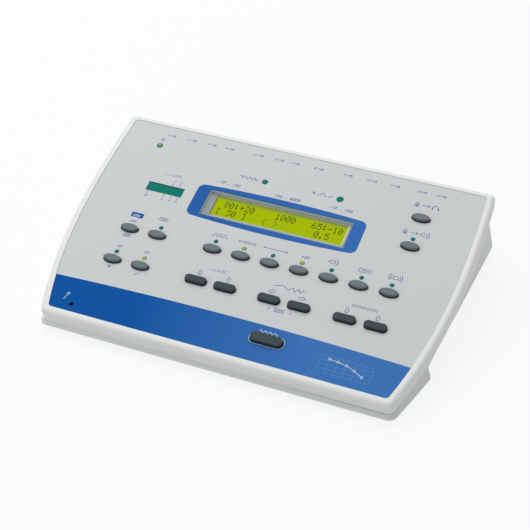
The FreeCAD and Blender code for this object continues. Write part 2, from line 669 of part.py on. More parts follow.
def make_base_shell():
    """Base: flared walls cut by the table plane, tongue, bosses, standoffs and connector recess."""
    outer = base_outer_form()
    shell = outer.cut(base_hollow_form())

    flange = cover_prism(TONGUE_INSET, PARTING, PARTING + FLANGE_THICKNESS)
    flange = flange.cut(cover_prism(FLANGE_INSET, PARTING - OVERLAP, PARTING + CUT_MARGIN))
    tongue = cover_prism(TONGUE_INSET, PARTING, PARTING + TONGUE_HEIGHT)
    tongue = tongue.cut(cover_prism(TONGUE_INSET + TONGUE_WALL, PARTING - OVERLAP,
                                    PARTING + CUT_MARGIN))
    collar = to_world(fuse([flange, tongue]))

    additions = [recess_frame().common(outer)]
    holes = recess_cuts()
    for x, y in case_screw_places():
        joint = joint_height(y)
        additions.append(post(x, y, BOSS_RADIUS, FOOT_HEIGHT + BASE_EDGE, joint))
        seat = joint - BOSS_SHELF
        holes.append(post(x, y, SCREW_HEAD_RADIUS + HEAD_CLEARANCE, FOOT_HEIGHT - CUT_MARGIN, seat))
        holes.append(post(x, y, SCREW_RADIUS + HEAD_CLEARANCE / 2, seat - OVERLAP,
                          joint + CUT_MARGIN))
    for x, y in MAIN_BOARD_POSTS:
        additions.append(post(x, y, STANDOFF_RADIUS, FOOT_HEIGHT + BASE_FLOOR / 2,
                              MAIN_BOARD_UNDERSIDE))
        holes.append(post(x, y, SCREW_RADIUS + SCREW_CLEARANCE, FLOOR_TOP,
                          MAIN_BOARD_UNDERSIDE + CUT_MARGIN))
    for x, y in foot_places().values():
        additions.append(post(x, y, FOOT_RADIUS + BASE_WALL, FOOT_HEIGHT + BASE_EDGE,
                              FOOT_HEIGHT + FOOT_SEAT + FOOT_ROOF))
        holes.append(post(x, y, FOOT_RADIUS + FOOT_CLEARANCE, FOOT_HEIGHT - CUT_MARGIN,
                          FOOT_HEIGHT + FOOT_SEAT))
    return cut(fuse([shell, collar] + additions), holes)


def foot_places():
    front = BASE_FRONT + FRONT_FEET[1]
    rear = BASE_REAR - REAR_FEET[1]
    return {"rubber_foot_front_left": (-FRONT_FEET[0], front),
            "rubber_foot_front_right": (FRONT_FEET[0], front),
            "rubber_foot_rear_left": (-REAR_FEET[0], rear),
            "rubber_foot_rear_right": (REAR_FEET[0], rear)}


def make_foot(x, y):
    """Round rubber foot, stuck in its seat, with a rounded lower edge."""
    foot = post(x, y, FOOT_RADIUS, 0.0, FOOT_HEIGHT + FOOT_SEAT)
    return foot.makeFillet(FOOT_EDGE, top_edges(foot, 0.0))


def make_case_screws():
    screws = []
    for x, y in case_screw_places():
        seat = joint_height(y) - BOSS_SHELF
        screws.append(screw(x, y, seat - SCREW_HEAD, 1, BOSS_SHELF + CASE_PILOT - SCREW_TIP_GAP))
    return Part.makeCompound(screws)


# ---------------------------------------------------------------- keys
def key_cap(name):
    """Domed or flat-topped cap that stands out of the overlay."""
    centre = ALL_KEYS[name]
    foot = PLATE_UNDERSIDE - KEY_REST_GAP
    if name in OVAL_KEYS:
        height = OVAL_KEY[2]
        sections = [oval_section(centre, OVAL_KEY, 0.0, foot),
                    oval_section(centre, OVAL_KEY, -KEY_TAPER, height)]
        cap = Part.makeLoft(sections, True, True)
        return cap.makeFillet(OVAL_CROWN, top_edges(cap, height))
    is_present = name == "key_present"
    width, depth, height = PRESENT_SIZE if is_present else BAR_KEY
    corner = PRESENT_CORNER if is_present else BAR_CORNER
    block = rounded_block(centre, (width, depth), corner, foot, height)
    return block.makeFillet(BAR_EDGE, top_edges(block, height))


def make_key(name):
    """Key in one piece: cap, retaining flange under the cover and stem over its switch."""
    u, v = ALL_KEYS[name]
    flange_top = PLATE_UNDERSIDE - KEY_REST_GAP
    flange_bottom = flange_top - KEY_FLANGE
    flange = key_prism(name, KEY_FLANGE_WIDTH, flange_bottom, flange_top)
    stem = post(u, v, KEY_STEM_RADIUS, -KEY_STEM_END, flange_bottom)
    return to_world(fuse([key_cap(name), flange, stem]))


def make_tact_switches():
    """One switch under each key, soldered to the key board."""
    plunger_top = -KEY_STEM_END - KEY_TRAVEL - SWITCH_GAP
    switches = []
    for u, v in ALL_KEYS.values():
        half = SWITCH_BODY / 2
        body = box(u - half, u + half, v - half, v + half, -KEY_BOARD_TOP,
                   -KEY_BOARD_TOP + SWITCH_HEIGHT)
        plunger = post(u, v, SWITCH_PLUNGER, -KEY_BOARD_TOP + SWITCH_HEIGHT, plunger_top)
        switches.append(fuse([body, plunger]))
    return to_world(Part.makeCompound(switches))


# ---------------------------------------------------------------- lamps, meter, microphone
def lamp(u, v, radius):
    """Lamp with a base flange on the key board and its lens in the overlay."""
    flange = post(u, v, radius + LAMP_FLANGE, -KEY_BOARD_TOP, -KEY_BOARD_TOP + LAMP_FLANGE_HEIGHT)
    stalk = post(u, v, radius, -KEY_BOARD_TOP, LAMP_PROUD)
    stalk = stalk.makeChamfer(LAMP_EDGE, top_edges(stalk, LAMP_PROUD))
    return fuse([flange, stalk])


def make_lamps(lamps):
    return to_world(Part.makeCompound([lamp(u, v, radius) for u, v, radius in lamps]))


def make_level_meter():
    """Bar-graph display: a block on the key board that fills its window in the overlay."""
    block = rounded_block(METER_CENTRE, METER_SIZE, METER_CLEARANCE, -KEY_BOARD_TOP, -METER_SUNK)
    return to_world(block)


def make_microphone():
    """Electret capsule behind the small hole at the panel's front left corner."""
    u, v = MICROPHONE
    capsule = post(u, v, MICROPHONE_RADIUS, PLATE_UNDERSIDE - MICROPHONE_LENGTH, PLATE_UNDERSIDE)
    return to_world(capsule)


# ---------------------------------------------------------------- display
def display_block(size, corner, n0, n1, offset=(0.0, 0.0)):
    centre = (DISPLAY_CENTRE[0] + offset[0], DISPLAY_CENTRE[1] + offset[1])
    return rounded_block(centre, size, corner, n0, n1)


def make_display_frame():
    """Sheet-metal bezel of the display, open over the view area and hollow for the glass."""
    body = display_block(DISPLAY_FRAME, DISPLAY_FRAME_CORNER, -DISPLAY_DEPTH, PLATE_UNDERSIDE)
    glass_seat = PLATE_UNDERSIDE - DISPLAY_FRAME_WALL
    hollow = display_block(DISPLAY_GLASS, DISPLAY_CUT_CORNER, -DISPLAY_DEPTH - CUT_MARGIN,
                           glass_seat, DISPLAY_VIEW_OFFSET)
    view = display_block(DISPLAY_VIEW, DISPLAY_CUT_CORNER, glass_seat - CUT_MARGIN,
                         PLATE_UNDERSIDE + CUT_MARGIN, DISPLAY_VIEW_OFFSET)
    return to_world(cut(body, [hollow, view]))


def glass_plate(n0, n1):
    """Plate that fills the hollow of the display's frame between two levels."""
    width, depth = DISPLAY_GLASS
    size = (width - 2 * DISPLAY_GLASS_FIT, depth - 2 * DISPLAY_GLASS_FIT)
    return to_world(display_block(size, DISPLAY_GLASS_CORNER, n0, n1, DISPLAY_VIEW_OFFSET))


def make_display_glass():
    """Liquid-crystal cell against the frame's face."""
    glass_seat = PLATE_UNDERSIDE - DISPLAY_FRAME_WALL
    return glass_plate(glass_seat - DISPLAY_GLASS_THICKNESS, glass_seat)


def make_display_backlight():
    """Light guide between the glass and the display's board."""
    glass_back = PLATE_UNDERSIDE - DISPLAY_FRAME_WALL - DISPLAY_GLASS_THICKNESS
    return glass_plate(-DISPLAY_DEPTH, glass_back)


def make_display_board():
    """Circuit board of the display, screwed to four posts of the cover."""
    board = display_block(DISPLAY_BOARD, DISPLAY_BOARD_CORNER, -DISPLAY_DEPTH - BOARD_THICKNESS,
                          -DISPLAY_DEPTH)
    holes = [post(u, v, SCREW_RADIUS + SCREW_CLEARANCE * 2, -DISPLAY_DEPTH - CUT_MARGIN,
                  CUT_MARGIN) for u, v in DISPLAY_POSTS]
    return to_world(cut(board, holes))


# ---------------------------------------------------------------- boards
def make_key_board():
    """Board parallel to the panel that carries the switches, lamps and meter."""
    low = -KEY_BOARD_TOP - BOARD_THICKNESS
    board = box(-KEY_BOARD_HALF, KEY_BOARD_HALF, KEY_BOARD_START, KEY_BOARD_END, low,
                -KEY_BOARD_TOP)
    high = -KEY_BOARD_TOP + CUT_MARGIN
    holes = [post(u, v, SCREW_RADIUS + SCREW_CLEARANCE * 2, low - CUT_MARGIN, high)
             for u, v in KEY_BOARD_POSTS]
    holes += [post(u, v, SCREW_HEAD_RADIUS + HEAD_CLEARANCE, low - CUT_MARGIN, high)
              for u, v in DISPLAY_POSTS]
    board = to_world(cut(board, holes))
    clear = BOSS_RADIUS + BOSS_CLEARANCE
    shafts = [post(x, y, clear, FOOT_HEIGHT, 2 * PANEL_Z + BASE_DEPTH) for x, y in case_screw_places()]
    return cut(board, shafts)


def make_main_board():
    """Board on the base's standoffs, with the sockets along its rear edge."""
    board = box(-MAIN_BOARD_HALF, MAIN_BOARD_HALF, MAIN_BOARD_FRONT, MAIN_BOARD_REAR,
                MAIN_BOARD_UNDERSIDE, MAIN_BOARD_TOP)
    top = MAIN_BOARD_TOP + CUT_MARGIN
    holes = [post(x, y, SCREW_RADIUS + SCREW_CLEARANCE * 2, FOOT_HEIGHT, top)
             for x, y in MAIN_BOARD_POSTS]
    holes += [post(x, y, BOSS_RADIUS + BOSS_CLEARANCE, FOOT_HEIGHT, top)
              for x, y in case_screw_places()]
    return cut(board, holes)


def make_board_screws(places, head_top, length):
    """Screws driven up into the cover's posts, in the panel's frame."""
    return to_world(Part.makeCompound([screw(u, v, head_top, 1, length) for u, v in places]))


def make_main_board_screws():
    length = STANDOFF_HEIGHT - SCREW_TIP_GAP + BOARD_THICKNESS
    return Part.makeCompound([screw(x, y, MAIN_BOARD_TOP + SCREW_HEAD, -1, length)
                              for x, y in MAIN_BOARD_POSTS])


def make_cable_headers():
    """Plug on the main board and plug under the key board."""
    width, depth, height = HEADER
    lower_y = MAIN_BOARD_FRONT + LOWER_HEADER_AT
    lower = box(CABLE_AT - width / 2, CABLE_AT + width / 2, lower_y - depth / 2,
                lower_y + depth / 2, MAIN_BOARD_TOP, MAIN_BOARD_TOP + height)
    board_back = -KEY_BOARD_TOP - BOARD_THICKNESS
    upper = box(CABLE_AT - width / 2, CABLE_AT + width / 2, UPPER_HEADER_AT - depth / 2,
                UPPER_HEADER_AT + depth / 2, board_back - height, board_back)
    return Part.makeCompound([lower, to_world(upper)])


def make_flat_cable():
    """Flat cable from plug to plug: a quarter bend, a level run and a bend into the upper plug."""
    start_y, start_z = MAIN_BOARD_FRONT + LOWER_HEADER_AT, MAIN_BOARD_TOP + HEADER[2]
    face = -KEY_BOARD_TOP - BOARD_THICKNESS - HEADER[2]
    finish = PANEL.multVec(Vector(CABLE_AT, UPPER_HEADER_AT, face))
    tilt = math.radians(PANEL_TILT)
    radius = (finish.z - start_z) / (2 + math.sin(tilt))
    bend_y = finish.y - radius * math.cos(tilt)

    def outline(offset):
        """Side view of one face of the cable, shifted to its left by an offset."""
        inner = radius - offset
        outer = radius + offset
        first = (start_y + radius, start_z)
        last = (bend_y, start_z + 2 * radius)

        def at(centre, reach, angle):
            return Vector(CABLE_AT - CABLE_WIDTH / 2, centre[0] + reach * math.cos(angle),
                          centre[1] + reach * math.sin(angle))

        points = [at(first, outer, math.pi), at(first, outer, math.pi * 0.75),
                  at(first, outer, math.pi / 2), at(last, inner, -math.pi / 2),
                  at(last, inner, (tilt - math.pi / 2) / 2), at(last, inner, tilt)]
        edges = [smooth_edge(points[0:3]), smooth_edge(points[2:4]), smooth_edge(points[3:6])]
        return edges, points[0], points[-1]

    upper, upper_start, upper_end = outline(CABLE_THICKNESS / 2)
    lower, lower_start, lower_end = outline(-CABLE_THICKNESS / 2)
    ends = [Part.makeLine(upper_end, lower_end), Part.makeLine(lower_start, upper_start)]
    side = Part.Face(Part.Wire(Part.__sortEdges__(upper + lower + ends)))
    return side.extrude(Vector(CABLE_WIDTH, 0, 0))


def make_board_components():
    """Chips and upright capacitors of the main board."""
    parts = []
    for x, row, side in CHIPS:
        y = MAIN_BOARD_FRONT + row
        parts.append(box(x - side / 2, x + side / 2, y - side / 2, y + side / 2, MAIN_BOARD_TOP,
                         MAIN_BOARD_TOP + CHIP_HEIGHT))
    for x, row in CAPACITORS:
        parts.append(post(x, MAIN_BOARD_FRONT + row, CAPACITOR_RADIUS, MAIN_BOARD_TOP,
                          MAIN_BOARD_TOP + CAPACITOR_HEIGHT))
    return Part.makeCompound(parts)


# ---------------------------------------------------------------- rear connectors
PANEL_INNER = CONNECTOR_PANEL_FACE - CONNECTOR_PANEL_THICKNESS
USB_AXIS = MAIN_BOARD_TOP + USB_SHELL[2] / 2
DATA_AXIS = MAIN_BOARD_TOP + DATA_BODY[2] / 2
POWER_AXIS = MAIN_BOARD_TOP + POWER_BODY[2] / 2


def make_connector_panel():
    """Flat panel in the recess, pierced for every socket."""
    lip = RECESS_WALL / 2 - CONNECTOR_PANEL_FIT
    plate = box(-RECESS_HALF - lip, RECESS_HALF + lip, PANEL_INNER, CONNECTOR_PANEL_FACE,
                RECESS_BOTTOM - lip, RECESS_TOP + lip)
    y0 = PANEL_INNER - CUT_MARGIN
    y1 = CONNECTOR_PANEL_FACE + CUT_MARGIN
    holes = [rod(x, CONNECTOR_AXIS, JACK_NOSE_RADIUS + CONNECTOR_GAP, y0, y1)
             for x in LARGE_JACKS.values()]
    holes += [rod(x, CONNECTOR_AXIS, MINI_NOSE_RADIUS + CONNECTOR_GAP, y0, y1)
              for x in SMALL_JACKS.values()]
    holes.append(rod(POWER_AT, POWER_AXIS, POWER_NOSE + CONNECTOR_GAP, y0, y1))
    holes.append(rod(DATA_AT, DATA_AXIS, DATA_BODY[0] / 2 - DATA_RIM + CONNECTOR_GAP, y0, y1))
    half = USB_SHELL[0] / 2 + CONNECTOR_GAP
    holes.append(box(USB_AT - half, USB_AT + half, y0, y1, MAIN_BOARD_TOP - CONNECTOR_GAP,
                     MAIN_BOARD_TOP + USB_SHELL[2] + CONNECTOR_GAP))
    return cut(plate, holes)


def make_jack(x, body_size, nose_radius, nose, bore, depth):
    """Board-mounted jack: square body on the main board, threaded nose and blind bore."""
    width, length, height = body_size
    mouth = CONNECTOR_PANEL_FACE + nose
    body_rear = PANEL_INNER - CONNECTOR_GAP
    body = box(x - width / 2, x + width / 2, body_rear - length, body_rear, MAIN_BOARD_TOP,
               MAIN_BOARD_TOP + height)
    neck = rod(x, CONNECTOR_AXIS, nose_radius, body_rear - OVERLAP, mouth)
    hole = rod(x, CONNECTOR_AXIS, bore, mouth - depth, mouth + CUT_MARGIN)
    return cut(fuse([body, neck]), [hole])


def make_jack_nuts():
    """Ring nuts on the noses of the large jacks, each with two spanner slots."""
    nuts = []
    for x in LARGE_JACKS.values():
        y1 = CONNECTOR_PANEL_FACE + NUT_THICKNESS
        ring = rod(x, CONNECTOR_AXIS, NUT_RADIUS, CONNECTOR_PANEL_FACE, y1)
        hole = rod(x, CONNECTOR_AXIS, JACK_NOSE_RADIUS + SCREW_CLEARANCE,
                   CONNECTOR_PANEL_FACE - CUT_MARGIN, y1 + CUT_MARGIN)
        slot = box(x - NUT_RADIUS - CUT_MARGIN, x + NUT_RADIUS + CUT_MARGIN,
                   y1 - NUT_THICKNESS / 3, y1 + CUT_MARGIN, CONNECTOR_AXIS - NUT_SLOT / 2,
                   CONNECTOR_AXIS + NUT_SLOT / 2)
        nuts.append(cut(ring, [hole, slot]))
    return Part.makeCompound(nuts)


def make_usb_socket():
    """Square data socket: bent metal shell with two bevelled upper corners and a tongue."""
    width, length, height = USB_SHELL
    mouth = CONNECTOR_PANEL_FACE + SOCKET_PROUD
    shell = box(USB_AT - width / 2, USB_AT + width / 2, mouth - length, mouth, MAIN_BOARD_TOP,
                MAIN_BOARD_TOP + height)
    half_w, half_h = USB_MOUTH[0] / 2, USB_MOUTH[1] / 2
    corners = [(-half_w, -half_h), (half_w, -half_h), (half_w, half_h - USB_BEVEL),
               (half_w - USB_BEVEL, half_h), (-half_w + USB_BEVEL, half_h),
               (-half_w, half_h - USB_BEVEL)]
    points = [Vector(USB_AT + dx, mouth + CUT_MARGIN, USB_AXIS + dz) for dx, dz in corners]
    profile = Part.Face(Part.makePolygon(points + points[:1]))
    cavity = profile.extrude(Vector(0, -USB_DEPTH - CUT_MARGIN, 0))
    tongue = box(USB_AT - USB_TONGUE[0] / 2, USB_AT + USB_TONGUE[0] / 2,
                 mouth - USB_DEPTH - OVERLAP, mouth - USB_TONGUE_SUNK,
                 USB_AXIS - USB_TONGUE[1] / 2, USB_AXIS + USB_TONGUE[1] / 2)
    return fuse([shell.cut(cavity), tongue])


def make_data_socket():
    """Round multi-pin socket with a ring groove for the plug's shell."""
    width, length, height = DATA_BODY
    mouth = CONNECTOR_PANEL_FACE
    body_rear = PANEL_INNER - CONNECTOR_GAP
    body = box(DATA_AT - width / 2, DATA_AT + width / 2, body_rear - length, body_rear,
               MAIN_BOARD_TOP, MAIN_BOARD_TOP + height)
    neck = rod(DATA_AT, DATA_AXIS, width / 2 - DATA_RIM, body_rear - OVERLAP, mouth)
    groove = rod(DATA_AT, DATA_AXIS, DATA_RADIUS, mouth - DATA_RING_DEPTH, mouth + CUT_MARGIN)
    core = rod(DATA_AT, DATA_AXIS, DATA_RADIUS - DATA_GROOVE, mouth - DATA_RING_DEPTH - OVERLAP,
               mouth - DATA_CORE_SUNK)
    pins = []
    for index in range(DATA_PINS):
        angle = 2 * math.pi * (index + 0.5) / DATA_PINS
        pins.append(rod(DATA_AT + DATA_PIN_CIRCLE * math.cos(angle),
                        DATA_AXIS + DATA_PIN_CIRCLE * math.sin(angle), DATA_PIN,
                        mouth - DATA_PIN_DEPTH, mouth))
    core = cut(core, pins)
    return fuse([fuse([body, neck]).cut(groove), core])


def make_power_socket():
    """Low-voltage inlet: round nose, deep bore and centre pin."""
    width, length, height = POWER_BODY
    mouth = CONNECTOR_PANEL_FACE + SOCKET_PROUD
    body_rear = PANEL_INNER - CONNECTOR_GAP
    body = box(POWER_AT - width / 2, POWER_AT + width / 2, body_rear - length, body_rear,
               MAIN_BOARD_TOP, MAIN_BOARD_TOP + height)
    neck = rod(POWER_AT, POWER_AXIS, POWER_NOSE, body_rear - OVERLAP, mouth)
    hole = rod(POWER_AT, POWER_AXIS, POWER_BORE, mouth - POWER_DEPTH, mouth + CUT_MARGIN)
    pin = rod(POWER_AT, POWER_AXIS, POWER_PIN, mouth - POWER_DEPTH - OVERLAP,
              mouth - POWER_PIN_SUNK)
    return fuse([fuse([body, neck]).cut(hole), pin])


# ---------------------------------------------------------------- all the pieces
def make_parts():
    """Every node of the assembly by name."""
    parts = {
        "top_cover": make_top_cover(),
        "base_shell": make_base_shell(),
        "front_overlay": make_front_overlay(),
        "case_screws": make_case_screws(),
        "display_frame": make_display_frame(),
        "display_glass": make_display_glass(),
        "display_backlight": make_display_backlight(),
        "display_board": make_display_board(),
        "display_screws": make_board_screws(DISPLAY_POSTS,
                                            -DISPLAY_DEPTH - BOARD_THICKNESS - SCREW_HEAD,
                                            BOARD_THICKNESS + DISPLAY_SCREW_BITE),
        "level_meter": make_level_meter(),
        "key_lamps": make_lamps(KEY_LAMPS),
        "status_lamps": make_lamps(STATUS_LAMPS),
        "microphone_capsule": make_microphone(),
        "key_board": make_key_board(),
        "key_board_screws": make_board_screws(KEY_BOARD_POSTS,
                                              -KEY_BOARD_TOP - BOARD_THICKNESS - SCREW_HEAD,
                                              BOARD_THICKNESS + SCREW_BITE - SCREW_TIP_GAP),
        "tact_switches": make_tact_switches(),
        "main_board": make_main_board(),
        "main_board_screws": make_main_board_screws(),
        "board_components": make_board_components(),
        "cable_headers": make_cable_headers(),
        "flat_cable": make_flat_cable(),
        "connector_panel": make_connector_panel(),
        "jack_nuts": make_jack_nuts(),
        "usb_socket": make_usb_socket(),
        "data_socket": make_data_socket(),
        "power_socket": make_power_socket(),
    }
    for name, x in LARGE_JACKS.items():
        parts[name] = make_jack(x, JACK_BODY, JACK_NOSE_RADIUS, JACK_NOSE, JACK_BORE, JACK_DEPTH)
    for name, x in SMALL_JACKS.items():
        parts[name] = make_jack(x, MINI_BODY, MINI_NOSE_RADIUS, MINI_NOSE, MINI_BORE, MINI_DEPTH)
    for name, (x, y) in foot_places().items():
        parts[name] = make_foot(x, y)
    for name in ALL_KEYS:
        parts[name] = make_key(name)
    return parts


def main():
    os.makedirs("parts", exist_ok=True)
    for name, shape in make_parts().items():
        solids = len(shape.Solids)
        print(name, "solids", solids, "valid", shape.isValid(), "volume", round(shape.Volume, 1))
        shape.exportStep("parts/" + name + ".step")


main()
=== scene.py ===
import json
import math

import bmesh
import bpy
from mathutils import Matrix, Vector


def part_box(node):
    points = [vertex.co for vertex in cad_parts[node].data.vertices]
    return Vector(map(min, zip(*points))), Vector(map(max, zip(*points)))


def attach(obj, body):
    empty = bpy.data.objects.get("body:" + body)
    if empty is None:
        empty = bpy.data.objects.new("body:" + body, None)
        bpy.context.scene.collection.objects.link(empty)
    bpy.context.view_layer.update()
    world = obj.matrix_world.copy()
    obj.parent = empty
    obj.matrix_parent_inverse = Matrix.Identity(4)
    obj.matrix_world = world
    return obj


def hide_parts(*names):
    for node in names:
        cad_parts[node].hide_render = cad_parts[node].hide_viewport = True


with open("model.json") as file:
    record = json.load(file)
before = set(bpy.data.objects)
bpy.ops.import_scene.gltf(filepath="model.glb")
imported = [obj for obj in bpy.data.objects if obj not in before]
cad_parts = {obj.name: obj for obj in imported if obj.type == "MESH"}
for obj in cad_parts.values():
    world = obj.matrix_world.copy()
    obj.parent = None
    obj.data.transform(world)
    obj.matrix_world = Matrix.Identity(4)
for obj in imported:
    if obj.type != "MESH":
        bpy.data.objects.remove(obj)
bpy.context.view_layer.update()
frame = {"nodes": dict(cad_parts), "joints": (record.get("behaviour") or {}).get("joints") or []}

# ---------- camera
# The operator's view, standing a little to the right of the instrument and looking down
# on the sloping panel.
MM = 0.001
CAMERA_AZIMUTH = math.radians(21.246)
CAMERA_ELEVATION = math.radians(38.537)
CAMERA_ROLL = math.radians(0.496)
CAMERA_DISTANCE = 835.02 * MM
CAMERA_ACROSS = 3.44 * MM
CAMERA_ABOVE = 17.37 * MM
CAMERA_AIM = Vector((0.0, -10.4 * MM, 1.8 * MM))
CAMERA_LENS = 84.553
CAMERA_SENSOR = 36.0
CAMERA_NEAR = 50 * MM


def place_camera():
    """A camera with the panel's middle near the middle of a square picture."""
    back = Vector((math.sin(CAMERA_AZIMUTH) * math.cos(CAMERA_ELEVATION),
                   -math.cos(CAMERA_AZIMUTH) * math.cos(CAMERA_ELEVATION),
                   math.sin(CAMERA_ELEVATION)))
    level = Vector((math.cos(CAMERA_AZIMUTH), math.sin(CAMERA_AZIMUTH), 0.0))
    upright = back.cross(level)
    right = level * math.cos(CAMERA_ROLL) + upright * math.sin(CAMERA_ROLL)
    up = upright * math.cos(CAMERA_ROLL) - level * math.sin(CAMERA_ROLL)
    data = bpy.data.cameras.new("view")
    data.lens = CAMERA_LENS
    data.sensor_width = CAMERA_SENSOR
    data.clip_start = CAMERA_NEAR
    camera = bpy.data.objects.new("view", data)
    stand = CAMERA_AIM + right * CAMERA_ACROSS + up * CAMERA_ABOVE + back * CAMERA_DISTANCE
    turned = Matrix((right, up, back)).transposed().to_4x4()
    camera.matrix_world = Matrix.Translation(stand) @ turned
    bpy.context.scene.collection.objects.link(camera)
    bpy.context.scene.camera = camera


place_camera()

# ---------- table and light
# A plain pale table without an edge, and broad soft lamps: one over the instrument, one low
# from the operator's left, with even light from the room.


class Wire:
    """An output in a node tree.  Arithmetic adds Math nodes, node() adds any other node."""

    def __init__(self, tree, socket):
        self.tree = tree
        self.socket = socket

    def node(self, kind, settings, values, output=0):
        """A new node: its settings first, then the values or wires of its inputs."""
        made = self.tree.nodes.new(kind)
        for name, setting in settings.items():
            setattr(made, name, setting)
        for key, value in values.items():
            if isinstance(value, Wire):
                self.tree.links.new(value.socket, made.inputs[key])
            else:
                made.inputs[key].default_value = value
        return Wire(self.tree, made.outputs[output])

    def maths(self, operation, *terms):
        """A Math node on these terms."""
        return self.node("ShaderNodeMath", {"operation": operation}, dict(enumerate(terms)))

    def __add__(self, other):
        return self.maths("ADD", self, other)

    def __radd__(self, other):
        return self.maths("ADD", other, self)

    def __sub__(self, other):
        return self.maths("SUBTRACT", self, other)

    def __rsub__(self, other):
        return self.maths("SUBTRACT", other, self)

    def __mul__(self, other):
        return self.maths("MULTIPLY", self, other)

    def __rmul__(self, other):
        return self.maths("MULTIPLY", other, self)

    def __truediv__(self, other):
        return self.maths("DIVIDE", self, other)

    def __rtruediv__(self, other):
        return self.maths("DIVIDE", other, self)

    def __abs__(self):
        return self.maths("ABSOLUTE", self)

    def most(self, other):
        """The larger of two values."""
        return self.maths("MAXIMUM", self, other)

    def least(self, other):
        """The smaller of two values."""
        return self.maths("MINIMUM", self, other)

    def clipped(self):
        """The value kept between 0 and 1."""
        return self.most(0.0).least(1.0)

    def rising(self, start, width):
        """0 up to the start, then a straight rise to 1 over the width."""
        return ((self - start) / width).clipped()

    def falling(self, end, width):
        """1 until a width before the end, then a straight fall to 0 at the end."""
        return ((end - self) / width).clipped()

    def scaled(self, low, high):
        """The number low where the value is 0, and high where it is 1."""
        return low + self * (high - low)

    def fraction(self):
        """What is left of the value above its whole number."""
        return self.maths("FRACT", self)

    def part(self, axis):
        """One of the three coordinates of a place."""
        return self.node("ShaderNodeSeparateXYZ", {}, {0: self}, axis)

    def between(self, low, high):
        """The colour low where the value is 0, and high where it is 1."""
        return self.node("ShaderNodeMix", {"data_type": "RGBA"}, {0: self, 6: low, 7: high}, 2)


def paint(red, green, blue):
    """A colour written as it looks on a screen, 0 to 255, as linear light."""
    parts = [part / 255 for part in (red, green, blue)]
    return (*[p / 12.92 if p <= 0.04045 else ((p + 0.055) / 1.055) ** 2.4 for p in parts], 1.0)


TABLE_HALF = 6.0
TABLE_DROP = 0.02 * MM
TABLE_FINISH = {"Base Color": paint(236, 236, 236), "Roughness": 0.9, "Specular IOR Level": 0.1}
TABLE_WHITE_SHARE = 0.86
WHITE = (1.0, 1.0, 1.0, 1.0)
ROOM_LIGHT = 0.46
LAMPS = {"overhead": ((-0.35, 0.35, 1.30), 1.3, 11.0),
         "operator_left": ((-0.95, -0.85, 0.80), 0.9, 3.0)}


def seen_white(wires):
    """1 for what the camera sees directly or in a mirror or glass, and 0 for light on pieces."""
    camera, glossy, through = [Wire(wires.tree, wires.socket.node.outputs[name]) for name in
                               ("Is Camera Ray", "Is Glossy Ray", "Is Transmission Ray")]
    return (camera + glossy + through).clipped()


def lay_table():
    """A level table, white to the eye, that a look from below passes through."""
    mesh = bpy.data.meshes.new("table")
    corners = [(x * TABLE_HALF, y * TABLE_HALF, -TABLE_DROP) for x, y in
               ((-1, -1), (1, -1), (1, 1), (-1, 1))]
    mesh.from_pydata(corners, [], [(0, 1, 2, 3)])
    material = bpy.data.materials.new("table")
    material.use_nodes = True
    tree = material.node_tree
    shader = tree.nodes["Principled BSDF"]
    for socket, value in TABLE_FINISH.items():
        shader.inputs[socket].default_value = value
    rays = tree.nodes.new("ShaderNodeLightPath")
    factor = seen_white(Wire(tree, rays.outputs[0])) * TABLE_WHITE_SHARE
    white = factor.node("ShaderNodeEmission", {}, {"Color": WHITE, "Strength": 1.0})
    surface = Wire(tree, shader.outputs[0])
    blend = factor.node("ShaderNodeMixShader", {}, {0: factor, 1: surface, 2: white})
    below = Wire(tree, tree.nodes.new("ShaderNodeNewGeometry").outputs["Backfacing"])
    clear = below.node("ShaderNodeBsdfTransparent", {}, {})
    blend = below.node("ShaderNodeMixShader", {}, {0: below, 1: blend, 2: clear})
    tree.links.new(blend.socket, tree.nodes["Material Output"].inputs["Surface"])
    mesh.materials.append(material)
    table = bpy.data.objects.new("table", mesh)
    bpy.context.scene.collection.objects.link(table)


def light_room():
    """Even light from all sides, and the soft lamps aimed at the instrument."""
    world = bpy.data.worlds.new("room")
    world.use_nodes = True
    tree = world.node_tree
    tree.nodes.clear()
    rays = tree.nodes.new("ShaderNodeLightPath")
    factor = seen_white(Wire(tree, rays.outputs[0]))
    dim, full = [factor.node("ShaderNodeBackground", {}, {"Color": WHITE, "Strength": strength})
                 for strength in (ROOM_LIGHT, 1.0)]
    blend = factor.node("ShaderNodeMixShader", {}, {0: factor, 1: dim, 2: full})
    output = tree.nodes.new("ShaderNodeOutputWorld")
    tree.links.new(blend.socket, output.inputs["Surface"])
    bpy.context.scene.world = world
    for name, (place, size, power) in LAMPS.items():
        data = bpy.data.lights.new(name, "AREA")
        data.size = size
        data.energy = power
        lamp = bpy.data.objects.new(name, data)
        lamp.location = place
        lamp.rotation_euler = (-Vector(place)).to_track_quat("-Z", "Y").to_euler()
        bpy.context.scene.collection.objects.link(lamp)


lay_table()
light_room()
bpy.context.scene.view_settings.view_transform = "Standard"

